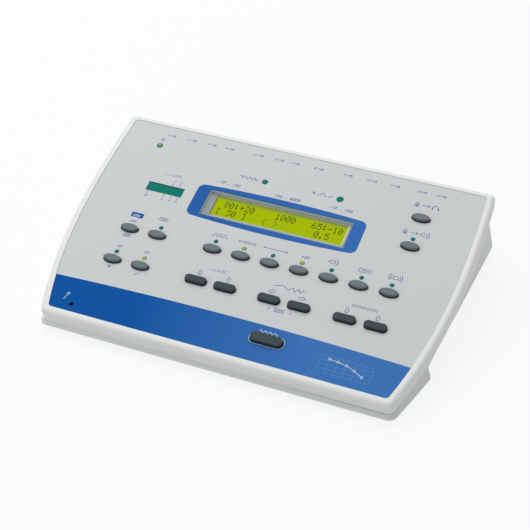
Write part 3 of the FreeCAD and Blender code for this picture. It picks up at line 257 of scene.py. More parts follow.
# ---------- case
# Two mouldings in off-white ABS with a fine spark-eroded grain: the cover with its raised
# border and skirt, and the base shell under it with the cheeks and finger grips.
CASE_COLOUR = paint(227, 229, 227)
# The base's off-white is a darker copy of the cover's: painted shade on its lower walls.
BASE_SHADED_COLOUR = paint(218, 222, 222)
CASE_ROUGHNESS = 0.48
GLOSS_SPREAD = 0.05
CASE_GRAIN = 0.35 * MM
CASE_GRAIN_DEPTH = 0.012 * MM
CASE_CLOUD = 60 * MM
COVER_CLOUDS = 0.03
BASE_CLOUDS = 0.015
FILM_THICKNESS = 0.5 * MM
FILM_MARGIN = 0.15 * MM
GROOVE_LEVEL = -9.58
GROOVE_EDGE = 0.16
# The ledge in the groove under the skirt: painted shade on the right, fading to painted light on
# the left.
GROOVE_SHADE_FROM = 20.0
GROOVE_SHADE_SPREAD = 85.0
GROOVE_PAINTED_SHADE = paint(66, 78, 78)
LEDGE_PAINTED_LIGHT = paint(252, 254, 253)
WINDOW_CENTRE = (0.2, 112.0)
WINDOW_HALF = (51.7, 11.8)
WINDOW_CORNER = 1.0
WINDOW_GREY = paint(198, 206, 218)
MICROPHONE_AT = (-99.6, 5.8)
LISTENING_RADIUS = 1.45
HOLE_SHADE = paint(16, 18, 22)
UNDER_FILM = -0.45
UNDER_FILM_EDGE = 0.1
PRINT_EDGE = 0.12


def new_finish(name, constants):
    """A material with these constants on its shader, and its piece's own coordinates."""
    material = bpy.data.materials.new(name)
    material.use_nodes = True
    tree = material.node_tree
    for socket, value in constants.items():
        tree.nodes["Principled BSDF"].inputs[socket].default_value = value
    coordinates = tree.nodes.new("ShaderNodeTexCoord")
    return material, Wire(tree, coordinates.outputs["Object"])


def feed(material, wires):
    """The material, with wires linked to the inputs of its shader."""
    shader = material.node_tree.nodes["Principled BSDF"]
    for socket, wire in wires.items():
        material.node_tree.links.new(wire.socket, shader.inputs[socket])
    return material


def grain(place, size):
    """Cloudy noise around 0.5 whose spots are about this size."""
    return place.node("ShaderNodeTexNoise", {}, {"Vector": place, "Scale": 1 / size})


def shaded(colour, share):
    """The colour made darker or lighter by a share."""
    return (*[part * share for part in colour[:3]], 1.0)


def bumped(height, depth):
    """A normal from a height between 0 and 1, for a relief this deep."""
    return height.node("ShaderNodeBump", {}, {"Strength": 1.0, "Distance": depth,
                                              "Height": height})


def clouded(clouds, colour, share):
    """The colour with clouds that are darker and lighter by a share."""
    return clouds.between(shaded(colour, 1 - share), shaded(colour, 1 + share))


def grained(place, roughness, size, depth):
    """The wires of a surface whose fine grain shows in its gloss and its relief."""
    fine = grain(place, size)
    return {"Roughness": fine.scaled(roughness - GLOSS_SPREAD, roughness + GLOSS_SPREAD),
            "Normal": bumped(fine, depth)}


def moulded(name, colour, roughness, grain_size, grain_depth, variation=COVER_CLOUDS):
    """Moulded plastic: even colour with slight clouds, and a fine grain in the surface."""
    material, place = new_finish(name, {"IOR": 1.5})
    return feed(material, {
        "Base Color": clouded(grain(place, CASE_CLOUD), colour, variation),
        **grained(place, roughness, grain_size, grain_depth)})


def panel_frame():
    """The panel's own axes: u to the right, v up the slope, n out of the film's face."""
    inward = Vector(frame["joints"][0]["axis"])
    tilt = math.atan2(inward.y, -inward.z)
    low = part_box("front_overlay")[0]
    corner = Vector((0.0, low.y - FILM_MARGIN * math.cos(tilt),
                     low.z - FILM_MARGIN * math.sin(tilt) + FILM_THICKNESS * math.cos(tilt)))
    return tilt, Matrix.Translation(corner) @ Matrix.Rotation(tilt, 4, "X")


TILT, PANEL = panel_frame()


def on_panel(place):
    """The panel coordinates of a piece's surface, in millimetres, as three wires."""
    turned = place.node("ShaderNodeMapping", {"vector_type": "TEXTURE"},
                        {"Vector": place, "Location": PANEL.translation,
                         "Rotation": (TILT, 0.0, 0.0), "Scale": (MM, MM, MM)})
    return [turned.part(axis) for axis in range(3)]


def base_finish():
    """The base's plastic, a darker copy of the case's colour as painted shade; its ledge in the
    groove is painted light on the left and painted shade on the right.
    """
    material, place = new_finish("base_plastic", {"IOR": 1.5})
    u, _v, n = on_panel(place)
    ledge = n.rising(GROOVE_LEVEL, GROOVE_EDGE)
    # Painted shade in the groove, fading to painted light on the left.
    painted_groove = u.rising(GROOVE_SHADE_FROM, GROOVE_SHADE_SPREAD).between(LEDGE_PAINTED_LIGHT, GROOVE_PAINTED_SHADE)
    # Painted shade: the base's plastic is darker than the cover's.
    plastic = clouded(grain(place, CASE_CLOUD), BASE_SHADED_COLOUR, BASE_CLOUDS)
    return feed(material, {
        "Base Color": ledge.between(plastic, painted_groove),
        **grained(place, CASE_ROUGHNESS, CASE_GRAIN, CASE_GRAIN_DEPTH)})


def dress(material, *names):
    """Gives CAD nodes their finish."""
    for name in names:
        slots = frame["nodes"][name].data.materials
        slots.clear()
        slots.append(material)


def rounded_shape(u, v, centre, half, corner):
    """Signed distance to a rounded rectangle, in millimetres, negative inside."""
    across = abs(u - centre[0]) - half[0] + corner
    along = abs(v - centre[1]) - half[1] + corner
    beyond_u, beyond_v = across.most(0.0), along.most(0.0)
    outside = across.maths("SQRT", beyond_u * beyond_u + beyond_v * beyond_v)
    return outside + across.most(along).least(0.0) - corner


def disc(u, v, centre, radius):
    """Signed distance to a disc, in millimetres, negative inside."""
    return rounded_shape(u, v, centre, (radius, radius), radius)


def printed(distance):
    """1 inside a printed shape and 0 outside it, with a soft edge."""
    return (0.5 - distance / PRINT_EDGE).clipped()


def cover_finish():
    """The cover's plastic, grey in the display's window, with painted black shade in the
    listening hole.
    """
    material, place = new_finish("cover_plastic", {"IOR": 1.5})
    u, v, n = on_panel(place)
    window = printed(rounded_shape(u, v, WINDOW_CENTRE, WINDOW_HALF, WINDOW_CORNER))
    sunk = n.falling(UNDER_FILM, UNDER_FILM_EDGE)
    # Painted shade: the walls of the listening hole are made near black.
    hole = printed(disc(u, v, MICROPHONE_AT, LISTENING_RADIUS))
    plastic = clouded(grain(place, CASE_CLOUD), CASE_COLOUR, COVER_CLOUDS)
    painted = (window * sunk).between(plastic, WINDOW_GREY)
    return feed(material, {
        "Base Color": (hole * sunk).between(painted, HOLE_SHADE),
        **grained(place, CASE_ROUGHNESS, CASE_GRAIN, CASE_GRAIN_DEPTH)})


dress(cover_finish(), "top_cover")
dress(base_finish(), "base_shell")

# ---------- panel film
# A matt film that is printed from behind and lies in the cover's pocket: pale grey, with a
# blue band along the front, a blue surround to the display and a blue plaque at the on key.
FILM_GREY = paint(206, 210, 210)
FILM_CLOUDS = 0.015
FILM_ROUGHNESS = 0.47
FILM_GRAIN = 0.22 * MM
FILM_GRAIN_DEPTH = 0.005 * MM
# The printed blues get lighter from left to right: painted reflection.
BAND_LEFT = paint(4, 84, 162)
BAND_RIGHT_SHEEN = paint(62, 117, 186)
BAND_TOP = 28.05
BAND_TOP_AT = 3.0
BAND_SAG = 5100.0
SURROUND_CENTRE = (0.2, 112.05)
SURROUND_HALF = 60.2
SURROUND_HEIGHT = 15.95
SURROUND_SAG = 1680.0
SURROUND_CORNER = 4.5
SURROUND_LEFT = paint(36, 94, 168)
SURROUND_RIGHT_SHEEN = paint(54, 108, 182)
PLAQUE_OFFSET = 12.1
PLAQUE_HALF = (4.4, 2.1)
PLAQUE_CORNER = 0.8
PRESENT_RING = (11.55, 4.25)
PRESENT_RING_CORNER = 3.9
PRESENT_RING_LINE = 0.2
RING_COLOUR = paint(196, 206, 222)


def key_place(name):
    """A key's middle on the panel, in millimetres."""
    low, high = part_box(name)
    middle = PANEL.inverted() @ ((low + high) / 2)
    return middle.x / MM, middle.y / MM


def film_finish():
    """The film's print, colour over colour, with painted reflection that lightens the blues to
    the right and painted shade in the listening hole, and its matt face.
    """
    material, place = new_finish("panel_film", {"IOR": 1.45, "Specular IOR Level": 0.04})
    u, v, _n = on_panel(place)
    across = (u / (2 * SURROUND_HALF) + 0.5).clipped()
    grey = clouded(grain(place, CASE_CLOUD), FILM_GREY, FILM_CLOUDS)
    off_middle = u - BAND_TOP_AT
    band = printed(v - BAND_TOP + off_middle * off_middle / BAND_SAG)
    from_middle = u - SURROUND_CENTRE[0]
    height = SURROUND_HEIGHT - from_middle * from_middle / SURROUND_SAG
    surround = printed(rounded_shape(u, v, SURROUND_CENTRE, (SURROUND_HALF, height),
                                     SURROUND_CORNER))
    on_key_u, on_key_v = key_place("key_on_off")
    plaque = printed(rounded_shape(u, v, (on_key_u, on_key_v + PLAQUE_OFFSET), PLAQUE_HALF,
                                   PLAQUE_CORNER))
    ring = printed(abs(rounded_shape(u, v, key_place("key_present"), PRESENT_RING,
                                     PRESENT_RING_CORNER)) - PRESENT_RING_LINE)
    # Painted reflection: the blues lighten towards the right.
    band_blue_and_sheen = across.between(BAND_LEFT, BAND_RIGHT_SHEEN)
    blue = across.between(SURROUND_LEFT, SURROUND_RIGHT_SHEEN)
    colour = band.between(grey, band_blue_and_sheen)
    colour = surround.most(plaque).between(colour, blue)
    colour = ring.between(colour, RING_COLOUR)
    # Painted shade in the listening hole.
    hole = printed(disc(u, v, MICROPHONE_AT, LISTENING_RADIUS))
    colour = hole.between(colour, HOLE_SHADE)
    return feed(material, {
        "Base Color": colour,
        **grained(place, FILM_ROUGHNESS, FILM_GRAIN, FILM_GRAIN_DEPTH)})


dress(film_finish(), "front_overlay")

# ---------- keys
# Rubber keys with a satin skin: mid-grey ovals for the functions, dark bars for the levels and
# one wide dark key that presents the tone.
# Each key's top has its rubber's colour; its sides and foot carry painted shade.
OVAL_TOP = paint(106, 118, 121)
OVAL_SHADED_SIDE = paint(62, 69, 70)
BAR_TOP = paint(52, 64, 68)
BAR_SHADED_SIDE = paint(32, 39, 41)
WIDEST_OVAL = 15.5 * MM
OVAL_KEYS = [name for name in frame["nodes"] if name.startswith("key_") and
             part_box(name)[1].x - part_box(name)[0].x < WIDEST_OVAL]
BAR_KEYS = [joint["child"] for joint in frame["joints"] if joint["child"] not in OVAL_KEYS]
KEY_GRAIN = 0.3 * MM
KEY_GRAIN_DEPTH = 0.008 * MM
KEY_FOOT = 0.91
KEY_FADE = 1.56


def key_finish(name, side, top):
    """Satin rubber with painted shade: darker at its foot, where it goes down into the panel."""
    material, place = new_finish(name, {"IOR": 1.45, "Specular IOR Level": 0.22})
    _u, _v, n = on_panel(place)
    fine = grain(place, KEY_GRAIN)
    return feed(material, {
        "Base Color": n.rising(KEY_FOOT, KEY_FADE).between(side, top),
        "Roughness": fine.scaled(0.5, 0.62), "Normal": bumped(fine, KEY_GRAIN_DEPTH)})


dress(key_finish("oval_key_rubber", OVAL_SHADED_SIDE, OVAL_TOP), *OVAL_KEYS)
dress(key_finish("bar_key_rubber", BAR_SHADED_SIDE, BAR_TOP), *BAR_KEYS)

# ---------- print on the panel
# Silk-screened signs, numbers and arrows in blue-violet on the grey and in white on the blue
# band.  The ink stands a few hundredths of a millimetre proud of the film.
INK_BLUE = paint(68, 92, 164)
INK_WHITE = paint(214, 224, 236)
INK_PALE = paint(120, 160, 216)
INK_RISE = 0.02
INK_THICKNESS = 0.02
INK_WEIGHT = 0.42
GRID_WEIGHT = 0.16
LETTER_SIZE = 1.37
LETTER_LEAN = 0.2
LETTER_GAP = 1.12
LETTER_BOLD = 0.05
LETTER_STEPS = 3
INK_CLOUD = 0.6 * MM
ARC_STEPS = 12
WAVE_STEPS = 10
SWEEP_STEPS = 60
SWEEP_TURN = 22.0
SOCKET_ROW = 162.0
HEARING_LEVELS = (0.86, 0.82, 0.74, 0.55, 0.30)


def ink(name, colour):
    """Screen ink, a little uneven in how thickly it covers."""
    material, place = new_finish(name, {"Specular IOR Level": 0.15})
    cover = grain(place, INK_CLOUD)
    return feed(material, {
        "Base Color": clouded(cover, colour, 0.1), "Roughness": cover.scaled(0.5, 0.6)})


def new_tree(name, sizes):
    """An empty Geometry Nodes tree with named sizes, and the wires of its inputs."""
    tree = bpy.data.node_groups.new(name, "GeometryNodeTree")
    tree.interface.new_socket("Geometry", in_out="INPUT", socket_type="NodeSocketGeometry")
    for label, size in sizes.items():
        socket = tree.interface.new_socket(label, in_out="INPUT", socket_type="NodeSocketFloat")
        socket.default_value = size
    tree.interface.new_socket("Geometry", in_out="OUTPUT", socket_type="NodeSocketGeometry")
    source = tree.nodes.new("NodeGroupInput")
    return {output.name: Wire(tree, output) for output in source.outputs if output.name}


def close_tree(geometry, material):
    """Ends a tree with real copies that carry one material."""
    real = geometry.node("GeometryNodeRealizeInstances", {}, {0: geometry})
    done = real.node("GeometryNodeSetMaterial", {}, {"Geometry": real, "Material": material})
    sink = done.tree.nodes.new("NodeGroupOutput")
    done.tree.links.new(done.socket, sink.inputs[0])
    return done.tree


def plain_mesh(shape):
    """What an object's modifiers or letters make of it, as a mesh of its own."""
    graph = bpy.context.evaluated_depsgraph_get()
    return bpy.data.meshes.new_from_object(shape.evaluated_get(graph))


def grown(name, seed, tree, sizes):
    """The mesh that a Geometry Nodes tree makes from a seed mesh, as an object."""
    piece = bpy.data.objects.new(name, seed)
    bpy.context.scene.collection.objects.link(piece)
    modifier = piece.modifiers.new(name, "NODES")
    modifier.node_group = tree
    for item in tree.interface.items_tree:
        if item.name in sizes:
            modifier[item.identifier] = sizes[item.name]
    plain = plain_mesh(piece)
    piece.modifiers.remove(modifier)
    piece.data = plain
    return piece


def ribbon_tree(material):
    """Lines drawn as edges become flat ribbons of ink."""
    wires = new_tree("ink_ribbon", {"Width": INK_WEIGHT, "Thickness": INK_THICKNESS})
    lines = wires["Geometry"]
    curve = lines.node("GeometryNodeMeshToCurve", {}, {0: lines})
    curve = curve.node("GeometryNodeSetCurveNormal", {"mode": "Z_UP"}, {0: curve})
    across = curve.node("GeometryNodeCurvePrimitiveQuadrilateral", {},
                        {"Width": wires["Width"], "Height": wires["Thickness"]})
    ribbon = curve.node("GeometryNodeCurveToMesh", {},
                        {"Curve": curve, "Profile Curve": across, "Fill Caps": True})
    return close_tree(ribbon, material)


def lines_mesh(lines, level):
    """Open lines, as edges of one mesh on a level."""
    points = []
    edges = []
    for line in lines:
        first = len(points)
        points += [(x, y, level) for x, y in line]
        edges += [(first + i, first + i + 1) for i in range(len(line) - 1)]
    mesh = bpy.data.meshes.new("lines")
    mesh.from_pydata(points, edges, [])
    return mesh


def letter_meshes(words, level):
    """Meshes of words given as (text, x, y, cap height), in the middle of that place."""
    meshes = []
    for text, x, y, height in words:
        letters = bpy.data.curves.new("letters", "FONT")
        letters.body = text
        letters.align_x = "CENTER"
        letters.size = height * LETTER_SIZE
        letters.shear = LETTER_LEAN
        letters.offset = LETTER_BOLD
        letters.space_character = LETTER_GAP
        letters.extrude = INK_THICKNESS / 2
        letters.resolution_u = LETTER_STEPS
        carrier = bpy.data.objects.new("letters", letters)
        bpy.context.scene.collection.objects.link(carrier)
        mesh = plain_mesh(carrier)
        bpy.data.objects.remove(carrier)
        mesh.transform(Matrix.Translation((x, y - height / 2, level)))
        meshes.append(mesh)
    return meshes


def inked(name, words, lines, material, placing, weight=INK_WEIGHT):
    """One piece of print from words and lines in millimetres, put in its place and riding."""
    piece = grown(name, lines_mesh(lines, INK_RISE), ribbon_tree(material), {"Width": weight})
    whole = bmesh.new()
    whole.from_mesh(piece.data)
    for mesh in letter_meshes(words, INK_RISE):
        whole.from_mesh(mesh)
    bmesh.ops.transform(whole, matrix=placing @ Matrix.Scale(MM, 4), verts=whole.verts)
    bmesh.ops.recalc_face_normals(whole, faces=whole.faces)
    whole.to_mesh(piece.data)
    whole.free()
    for face in piece.data.polygons:
        face.material_index = 0
    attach(piece, "case")
    return piece


def moved(line, x, y, size=1.0, turn=0.0):
    """A line turned, scaled and moved."""
    c, s = math.cos(turn) * size, math.sin(turn) * size
    return [(x + a * c - b * s, y + a * s + b * c) for a, b in line]


def arc_line(x, y, radius, start=0, end=360):
    """A circle, or a part of one between two angles in degrees."""
    angles = [math.radians(start + (end - start) * i / ARC_STEPS) for i in range(ARC_STEPS + 1)]
    return [(x + radius * math.cos(a), y + radius * math.sin(a)) for a in angles]


def spread(middle, width, count):
    """Places evenly apart, from one end of a width to the other."""
    return [middle + width * (i / (count - 1) - 0.5) for i in range(count)]


def wave(x, y, width, height, periods):
    """A tone: a sine line."""
    return [(a, y + height / 2 * math.sin(i * math.tau / WAVE_STEPS))
            for i, a in enumerate(spread(x, width, WAVE_STEPS * periods + 1))]


def sweep(x, y, width, height):
    """A rising frequency: waves that get shorter to the right."""
    return [(a, y + height / 2 * math.sin(SWEEP_TURN * (i / SWEEP_STEPS) ** 2))
            for i, a in enumerate(spread(x, width, SWEEP_STEPS + 1))]


def pulses(x, y, width, height, count):
    """A pulsed tone: square steps up and down."""
    ends = spread(x, width, 2 * count + 2)
    line = []
    for i, (left, right) in enumerate(zip(ends, ends[1:])):
        level = y + height * (i % 2 - 0.5)
        line += [(left, level), (right, level)]
    return line


def noise(x, y, width, height, count):
    """Masking noise: uneven bars side by side."""
    reaches = [height / 2 * (0.72 + 0.28 * math.sin(i * 2.4)) for i in range(count)]
    return [[(a, y - reach), (a, y + reach)]
            for a, reach in zip(spread(x, width, count), reaches)]


def steps_up(x, y, width, height, count):
    """A level: bars that rise to the right."""
    low = y - height / 2
    return [[(a, low), (a, low + height * (i + 1) / count)]
            for i, a in enumerate(spread(x, width, count))]


def flat_tone(x, y, width, height):
    """A steady tone: a level line between two end marks."""
    left, right = x - width / 2, x + width / 2
    return [[(left, y), (right, y)]] + [[(a, y - height / 2), (a, y + height / 2)]
                                        for a in (left, right)]


def menu(x, y, width):
    """A menu: three lines of a list."""
    return [[(x - width / 2, y + d), (x + width / 2, y + d)] for d in (-1.1, 0.0, 1.1)]


ARROW = [(0.0, 2.1), (1.55, 0.4), (0.75, 0.4), (0.75, -1.9), (-0.75, -1.9), (-0.75, 0.4),
         (-1.55, 0.4), (0.0, 2.1)]
CROSS = [[(-1.0, -1.0), (1.0, 1.0)], [(-1.0, 1.0), (1.0, -1.0)]]
TICK = [[(-1.3, 0.0), (-0.3, -1.1), (1.5, 1.2)]]
POINTER = [[(-2.6, 0.0), (2.6, 0.0)], [(1.5, 1.0), (2.6, 0.0), (1.5, -1.0)]]
LOUDSPEAKER = [[(-3.4, -0.8), (-3.4, 0.8), (-2.2, 0.8), (-0.7, 2.0), (-0.7, -2.0), (-2.2, -0.8),
                (-3.4, -0.8)]] + [arc_line(-1.4, 0.0, radius, -45, 45) for radius in (2.2, 3.8)]
BALLOON = [[(-4.2, 1.6), (4.2, 1.6), (4.2, -1.0), (-1.6, -1.0), (-2.6, -2.0), (-2.6, -1.0),
            (-4.2, -1.0), (-4.2, 1.6)], [(-3.0, 0.3), (3.0, 0.3)]]
VIBRATOR = [[(-1.6, -1.2), (1.6, -1.2), (1.6, 1.2), (-1.6, 1.2), (-1.6, -1.2)]]
VIBRATOR += [arc_line(0.0, 0.0, radius, turn - 35, turn + 35)
             for turn in (0, 180) for radius in (3.0, 4.4)]
MICROPHONE = [arc_line(0.0, 0.5, 0.95), arc_line(0.0, 0.5, 1.75, 200, 340),
              [(0.0, -1.25), (0.0, -1.9)], [(-1.1, -1.9), (1.1, -1.9)]]
HEADPHONES = [arc_line(0.0, -0.4, 2.0, 0, 180)]
HEADPHONES += [[(side + d, -1.9), (side + d, -0.2)] for side in (-2.0, 2.0) for d in (-0.3, 0.3)]
SIGNS = ((CROSS, 17.2, 140.6), (TICK, 29.4, 140.5), (CROSS, -89.6, 41.2), (TICK, -69.6, 41.0),
         (LOUDSPEAKER, 49.9, 88.0), (BALLOON, 71.2, 86.9), (VIBRATOR, 91.3, 87.6),
         (MICROPHONE, 86.4, 151.0), (POINTER, 92.4, 151.0), (HEADPHONES, 99.0, 151.0),
         (MICROPHONE, 85.6, 126.5), (POINTER, 91.6, 126.5), (LOUDSPEAKER, 99.4, 126.5))


def socket_places():
    """Middle and half width of each rear socket from left to right, in millimetres."""
    boxes = [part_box(name) for name in frame["nodes"] if name.endswith(("_jack", "_socket"))]
    return sorted(((low.x + high.x) / 2 / MM, (high.x - low.x) / 2 / MM) for low, high in boxes)


SOCKETS = socket_places()


def blue_lines():
    """Every sign in blue, each in its place on the panel."""
    lines = [moved(line, x, y) for sign, x, y in SIGNS for line in sign]
    lines += [arc_line(-102.0, 156.9, 1.2, 120, 420), [(-102.0, 156.8), (-102.0, 158.4)]]
    lines += [[(u, 109.4), (u, 107.2)] for u in (-92.7, -80.2, -75.0, -70.3)]
    lines += [[(u, 118.4), (u, 121.4)] for u in (-77.9, -72.9)]
    lines += [wave(-30.0, 140.3, 13.0, 2.2, 4), sweep(29.7, 59.2, 20.0, 2.5)]
    lines += [pulses(23.4, 140.6, 7.0, 2.2, 1), pulses(-29.2, 86.8, 11.5, 2.2, 3)]
    lines += noise(-9.8, 86.5, 11.0, 2.8, 10) + noise(80.2, 59.1, 16.0, 2.8, 14)
    lines += steps_up(-81.6, 127.6, 12.5, 2.6, 8) + steps_up(-20.1, 59.6, 11.0, 2.8, 8)
    lines += flat_tone(10.1, 86.4, 16.0, 2.0)
    lines += menu(-71.3, 88.6, 6.5) + menu(-89.6, 68.9, 5.0) + menu(29.6, 40.9, 7.0)
    lines += [moved(ARROW, -90.0, 58.9, 0.75, math.pi / 2),
              moved(ARROW, -70.4, 59.3, 0.75, -math.pi / 2)]
    lines += [moved(ARROW, u, 54.2, 1.0, turn) for u, turn in
              ((-30.1, math.pi), (-10.1, 0.0), (70.1, math.pi), (90.2, 0.0),
               (20.0, math.pi / 2), (40.0, -math.pi / 2))]
    for x, _half in SOCKETS:
        lines += [arc_line(x + 3.0, SOCKET_ROW, 0.75),
                  [(x - 0.2, SOCKET_ROW), (x + 2.25, SOCKET_ROW)]]
    return lines


BLUE_WORDS = [("OFF", -90.8, 81.3, 1.8), ("+20", 30.6, 86.5, 2.2),
              ("-10 ... 120", -40.9, 131.6, 2.5), ("125 ... 8000", 1.6, 130.8, 2.5),
              ("-10 ... 100", 39.4, 132.0, 2.5),
              ("-20", -92.9, 105.3, 1.5), ("-5", -80.3, 105.3, 1.5), ("0", -75.0, 105.3, 1.5),
              ("+3", -70.2, 105.3, 1.5), ("-3", -77.9, 123.0, 1.4), ("+1", -72.9, 123.0, 1.4),
              ("<", 22.4, 41.0, 2.0), (">", 36.8, 41.0, 2.0)]
BLUE_WORDS += [(str(i + 1), x - 2.0, SOCKET_ROW, 1.7) for i, (x, _half) in enumerate(SOCKETS)]


def audiogram(x, y, width, height):
    """The chart of a hearing test: a grid with a falling curve of marks."""
    columns, rows = spread(x, width, 7), spread(y, height, 5)
    grid = [[(a, rows[0]), (a, rows[-1])] for a in columns]
    grid += [[(columns[0], b), (columns[-1], b)] for b in rows]
    marks = [(a, rows[0] + height * level) for a, level in zip(columns[1:], HEARING_LEVELS)]
    return grid, [marks] + [arc_line(a, b, 0.8) for a, b in marks]


def print_panel():
    """The blue signs, the white ones on the band, and the pale grid of the chart."""
    blue = ink("blue_ink", INK_BLUE)
    white = ink("white_ink", INK_WHITE)
    inked("panel_legends", BLUE_WORDS, blue_lines(), blue, PANEL)
    grid, curve = audiogram(83.0, 12.0, 34.0, 12.0)
    pictures = [wave(29.6, 23.3, 12.5, 1.7, 4), arc_line(-105.2, 13.0, 0.8),
                [(-105.4, 12.2), (-106.5, 8.2)]]
    words = [("ON", -90.6, 86.6, 2.1)]
    inked("band_legends", words, pictures + curve, white, PANEL)
    inked("band_grid", [], grid, ink("pale_ink", INK_PALE), PANEL, GRID_WEIGHT)


print_panel()

# ---------- lamps
# Light-emitting diodes with diffused lenses flush in the film: teal when dark, and yellow-green
# where the instrument is on, has its masking and its extra level set, and tests the right ear.
LAMP_DARK = paint(0, 120, 106)
LAMP_LIT = paint(214, 204, 4)
LAMP_RIM = paint(132, 140, 10)
LAMP_GRAIN = 0.5 * MM
LAMP_GLOW_EDGE = 0.9
LIT_LAMPS = ((-69.9, 53.8, 1.05), (-9.9, 81.5, 1.05), (30.3, 81.5, 1.05), (-101.9, 150.9, 0.8))


def lamp_finish():
    """Teal lenses, with a glow in the middle of the lit ones."""
    material, place = new_finish("lamp_lens", {"IOR": 1.5, "Specular IOR Level": 0.05,
                                               "Emission Strength": 0.36})
    u, v, _n = on_panel(place)
    fine = grain(place, LAMP_GRAIN)
    lit = None
    for *centre, radius in LIT_LAMPS:
        glow = (0.5 - disc(u, v, centre, radius) / LAMP_GLOW_EDGE).clipped()
        lit = glow if lit is None else lit.most(glow)
    return feed(material, {
        "Base Color": lit.between(clouded(fine, LAMP_DARK, 0.1), LAMP_RIM),
        "Emission Color": lit.between(shaded(LAMP_LIT, 0.0), LAMP_LIT),
        "Roughness": fine.scaled(0.3, 0.4)})


dress(lamp_finish(), "key_lamps", "status_lamps")

# ---------- level meter
# A bar-graph of ten segments behind one teal filter: a block that stands on the key board and
# shows in its hole in the film, a little below the surface.
METER_TEAL = paint(0, 119, 107)
METER_DARK = paint(26, 52, 50)
METER_PITCH = 2.63
METER_EDGE = 116.8
METER_EDGE_BLUR = 0.2
METER_GAP = 0.09
METER_GAP_DARK = 0.35
METER_DASH = (0.14, 0.04)
METER_DASH_DARK = (0.3, 0.85)
METER_GRAIN = 0.4 * MM


def meter_finish():
    """The filter, with faint gaps between its segments and a row of dashes along its top."""
    material, place = new_finish("meter_filter", {"IOR": 1.5, "Specular IOR Level": 0.04})
    u, v, _n = on_panel(place)
    from_gap = abs((u / METER_PITCH).fraction() - 0.5)
    gap = from_gap.falling(METER_GAP, METER_GAP) * METER_GAP_DARK
    dash = from_gap.rising(*METER_DASH).scaled(*METER_DASH_DARK)
    edge = v.rising(METER_EDGE, METER_EDGE_BLUR) * dash
    fine = grain(place, METER_GRAIN)
    return feed(material, {
        "Base Color": gap.most(edge).between(METER_TEAL, METER_DARK),
        "Roughness": fine.scaled(0.3, 0.42)})


dress(meter_finish(), "level_meter")

# ---------- microphone
# An electret capsule in a blackened aluminium can, pushed into a collar under the panel so that
# it listens through the small hole in the film.
CAN_BLACK = paint(14, 15, 17)
CAN_WORN = paint(30, 31, 34)


def metal(name, dark, bright, spots, roughness):
    """Metal in spots of a darker and a brighter tone, with a roughness that follows them."""
    material, place = new_finish(name, {"Metallic": 1.0})
    worn = grain(place, spots)
    return feed(material, {
        "Base Color": worn.between(dark, bright), "Roughness": worn.scaled(*roughness)})


dress(metal("capsule_can", CAN_BLACK, CAN_WORN, spots=0.15 * MM, roughness=(0.4, 0.6)),
      "microphone_capsule")

# ---------- display
# A two-line liquid-crystal module: a grey sheet-metal bezel, the glass with its yellow-green
# backlight shining through, and dark characters of five by seven dots.
BEZEL_GREY = paint(150, 161, 164)
# The bezel is paler near the window's walls: painted light against their shade.
BEZEL_LIGHT_SHARES = (0.81, 1.27)
BEZEL_LIT_RIM = 4.0
BEZEL_LIT_TOP_RIM = 0.5
BEZEL_INNER = 1.5
BEZEL_GRAIN = 0.3 * MM
BEZEL_GRAIN_DEPTH = 0.004 * MM
# A pale strip round the opening, faint on the left and at the bottom and full on the right:
# painted light and shade.
OPENING_STRIP_PALE = paint(206, 209, 186)
OPENING_STRIP_WIDTH = 1.15
OPENING_STRIP_EDGE = 0.2
STRIP_LIGHT_FADE = 6.0
STRIP_LIGHT_SHARES = (0.15, 0.9)
STRIP_LOW_LIGHT_FADE = 0.6
STRIP_LOW_LIGHT_SHARES = (0.5, 1.0)
GLASS_GREEN = paint(174, 195, 0)
GLASS_EDGE_SHADOW = paint(124, 136, 82)
GLASS_SHADOW_REACH = (1.2, 3.2)
GLASS_BODY = paint(40, 52, 0)
DOT_COLOUR = paint(40, 56, 6)
VIEW_LOW = (-45.55, 104.6)
VIEW_HIGH = (48.35, 122.3)
VIEW_CORNER = 0.5
GLASS_THICKNESS = 2.4
GLASS_CLOUD = 25 * MM
GLASS_GLOW = 0.9
GLASS_CLOUDS = 0.2
GUIDE_COLOUR = paint(226, 232, 176)
DOT_RISE = 0.03
DOT_CLOUD = 1.0 * MM
DOT_SIZE = (0.56, 0.73)
DOT_STEP = (0.6, 0.77)
CELL_STEP = 3.7
FIRST_CELL = -44.5
ROW_HEIGHTS = (116.5, 109.7)
DOT_ROWS = {"0": (14, 17, 19, 21, 25, 17, 14), "1": (4, 12, 4, 4, 4, 4, 14),
            "2": (14, 17, 1, 2, 4, 8, 31), "3": (31, 2, 4, 2, 1, 17, 14),
            "5": (31, 16, 30, 1, 1, 17, 14), "6": (6, 8, 16, 30, 17, 17, 14),
            "8": (14, 17, 17, 14, 17, 17, 14), "+": (0, 4, 4, 31, 4, 4, 0),
            "-": (0, 0, 0, 31, 0, 0, 0), ":": (0, 12, 12, 0, 12, 12, 0),
            ".": (0, 0, 0, 0, 0, 12, 12), "[": (14, 8, 8, 8, 8, 8, 14),
            "]": (14, 2, 2, 2, 2, 2, 14), "<": (2, 4, 8, 16, 8, 4, 2),
            ">": (8, 4, 2, 1, 2, 4, 8)}
SHOWN = ((0, 2, "80:+20"), (0, 12, "1000"), (0, 19, "65:-10"), (1, 1, "["), (1, 3, "30"),
         (1, 6, "]"), (1, 10, "<"), (1, 12, ">"), (1, 20, "0.5"))


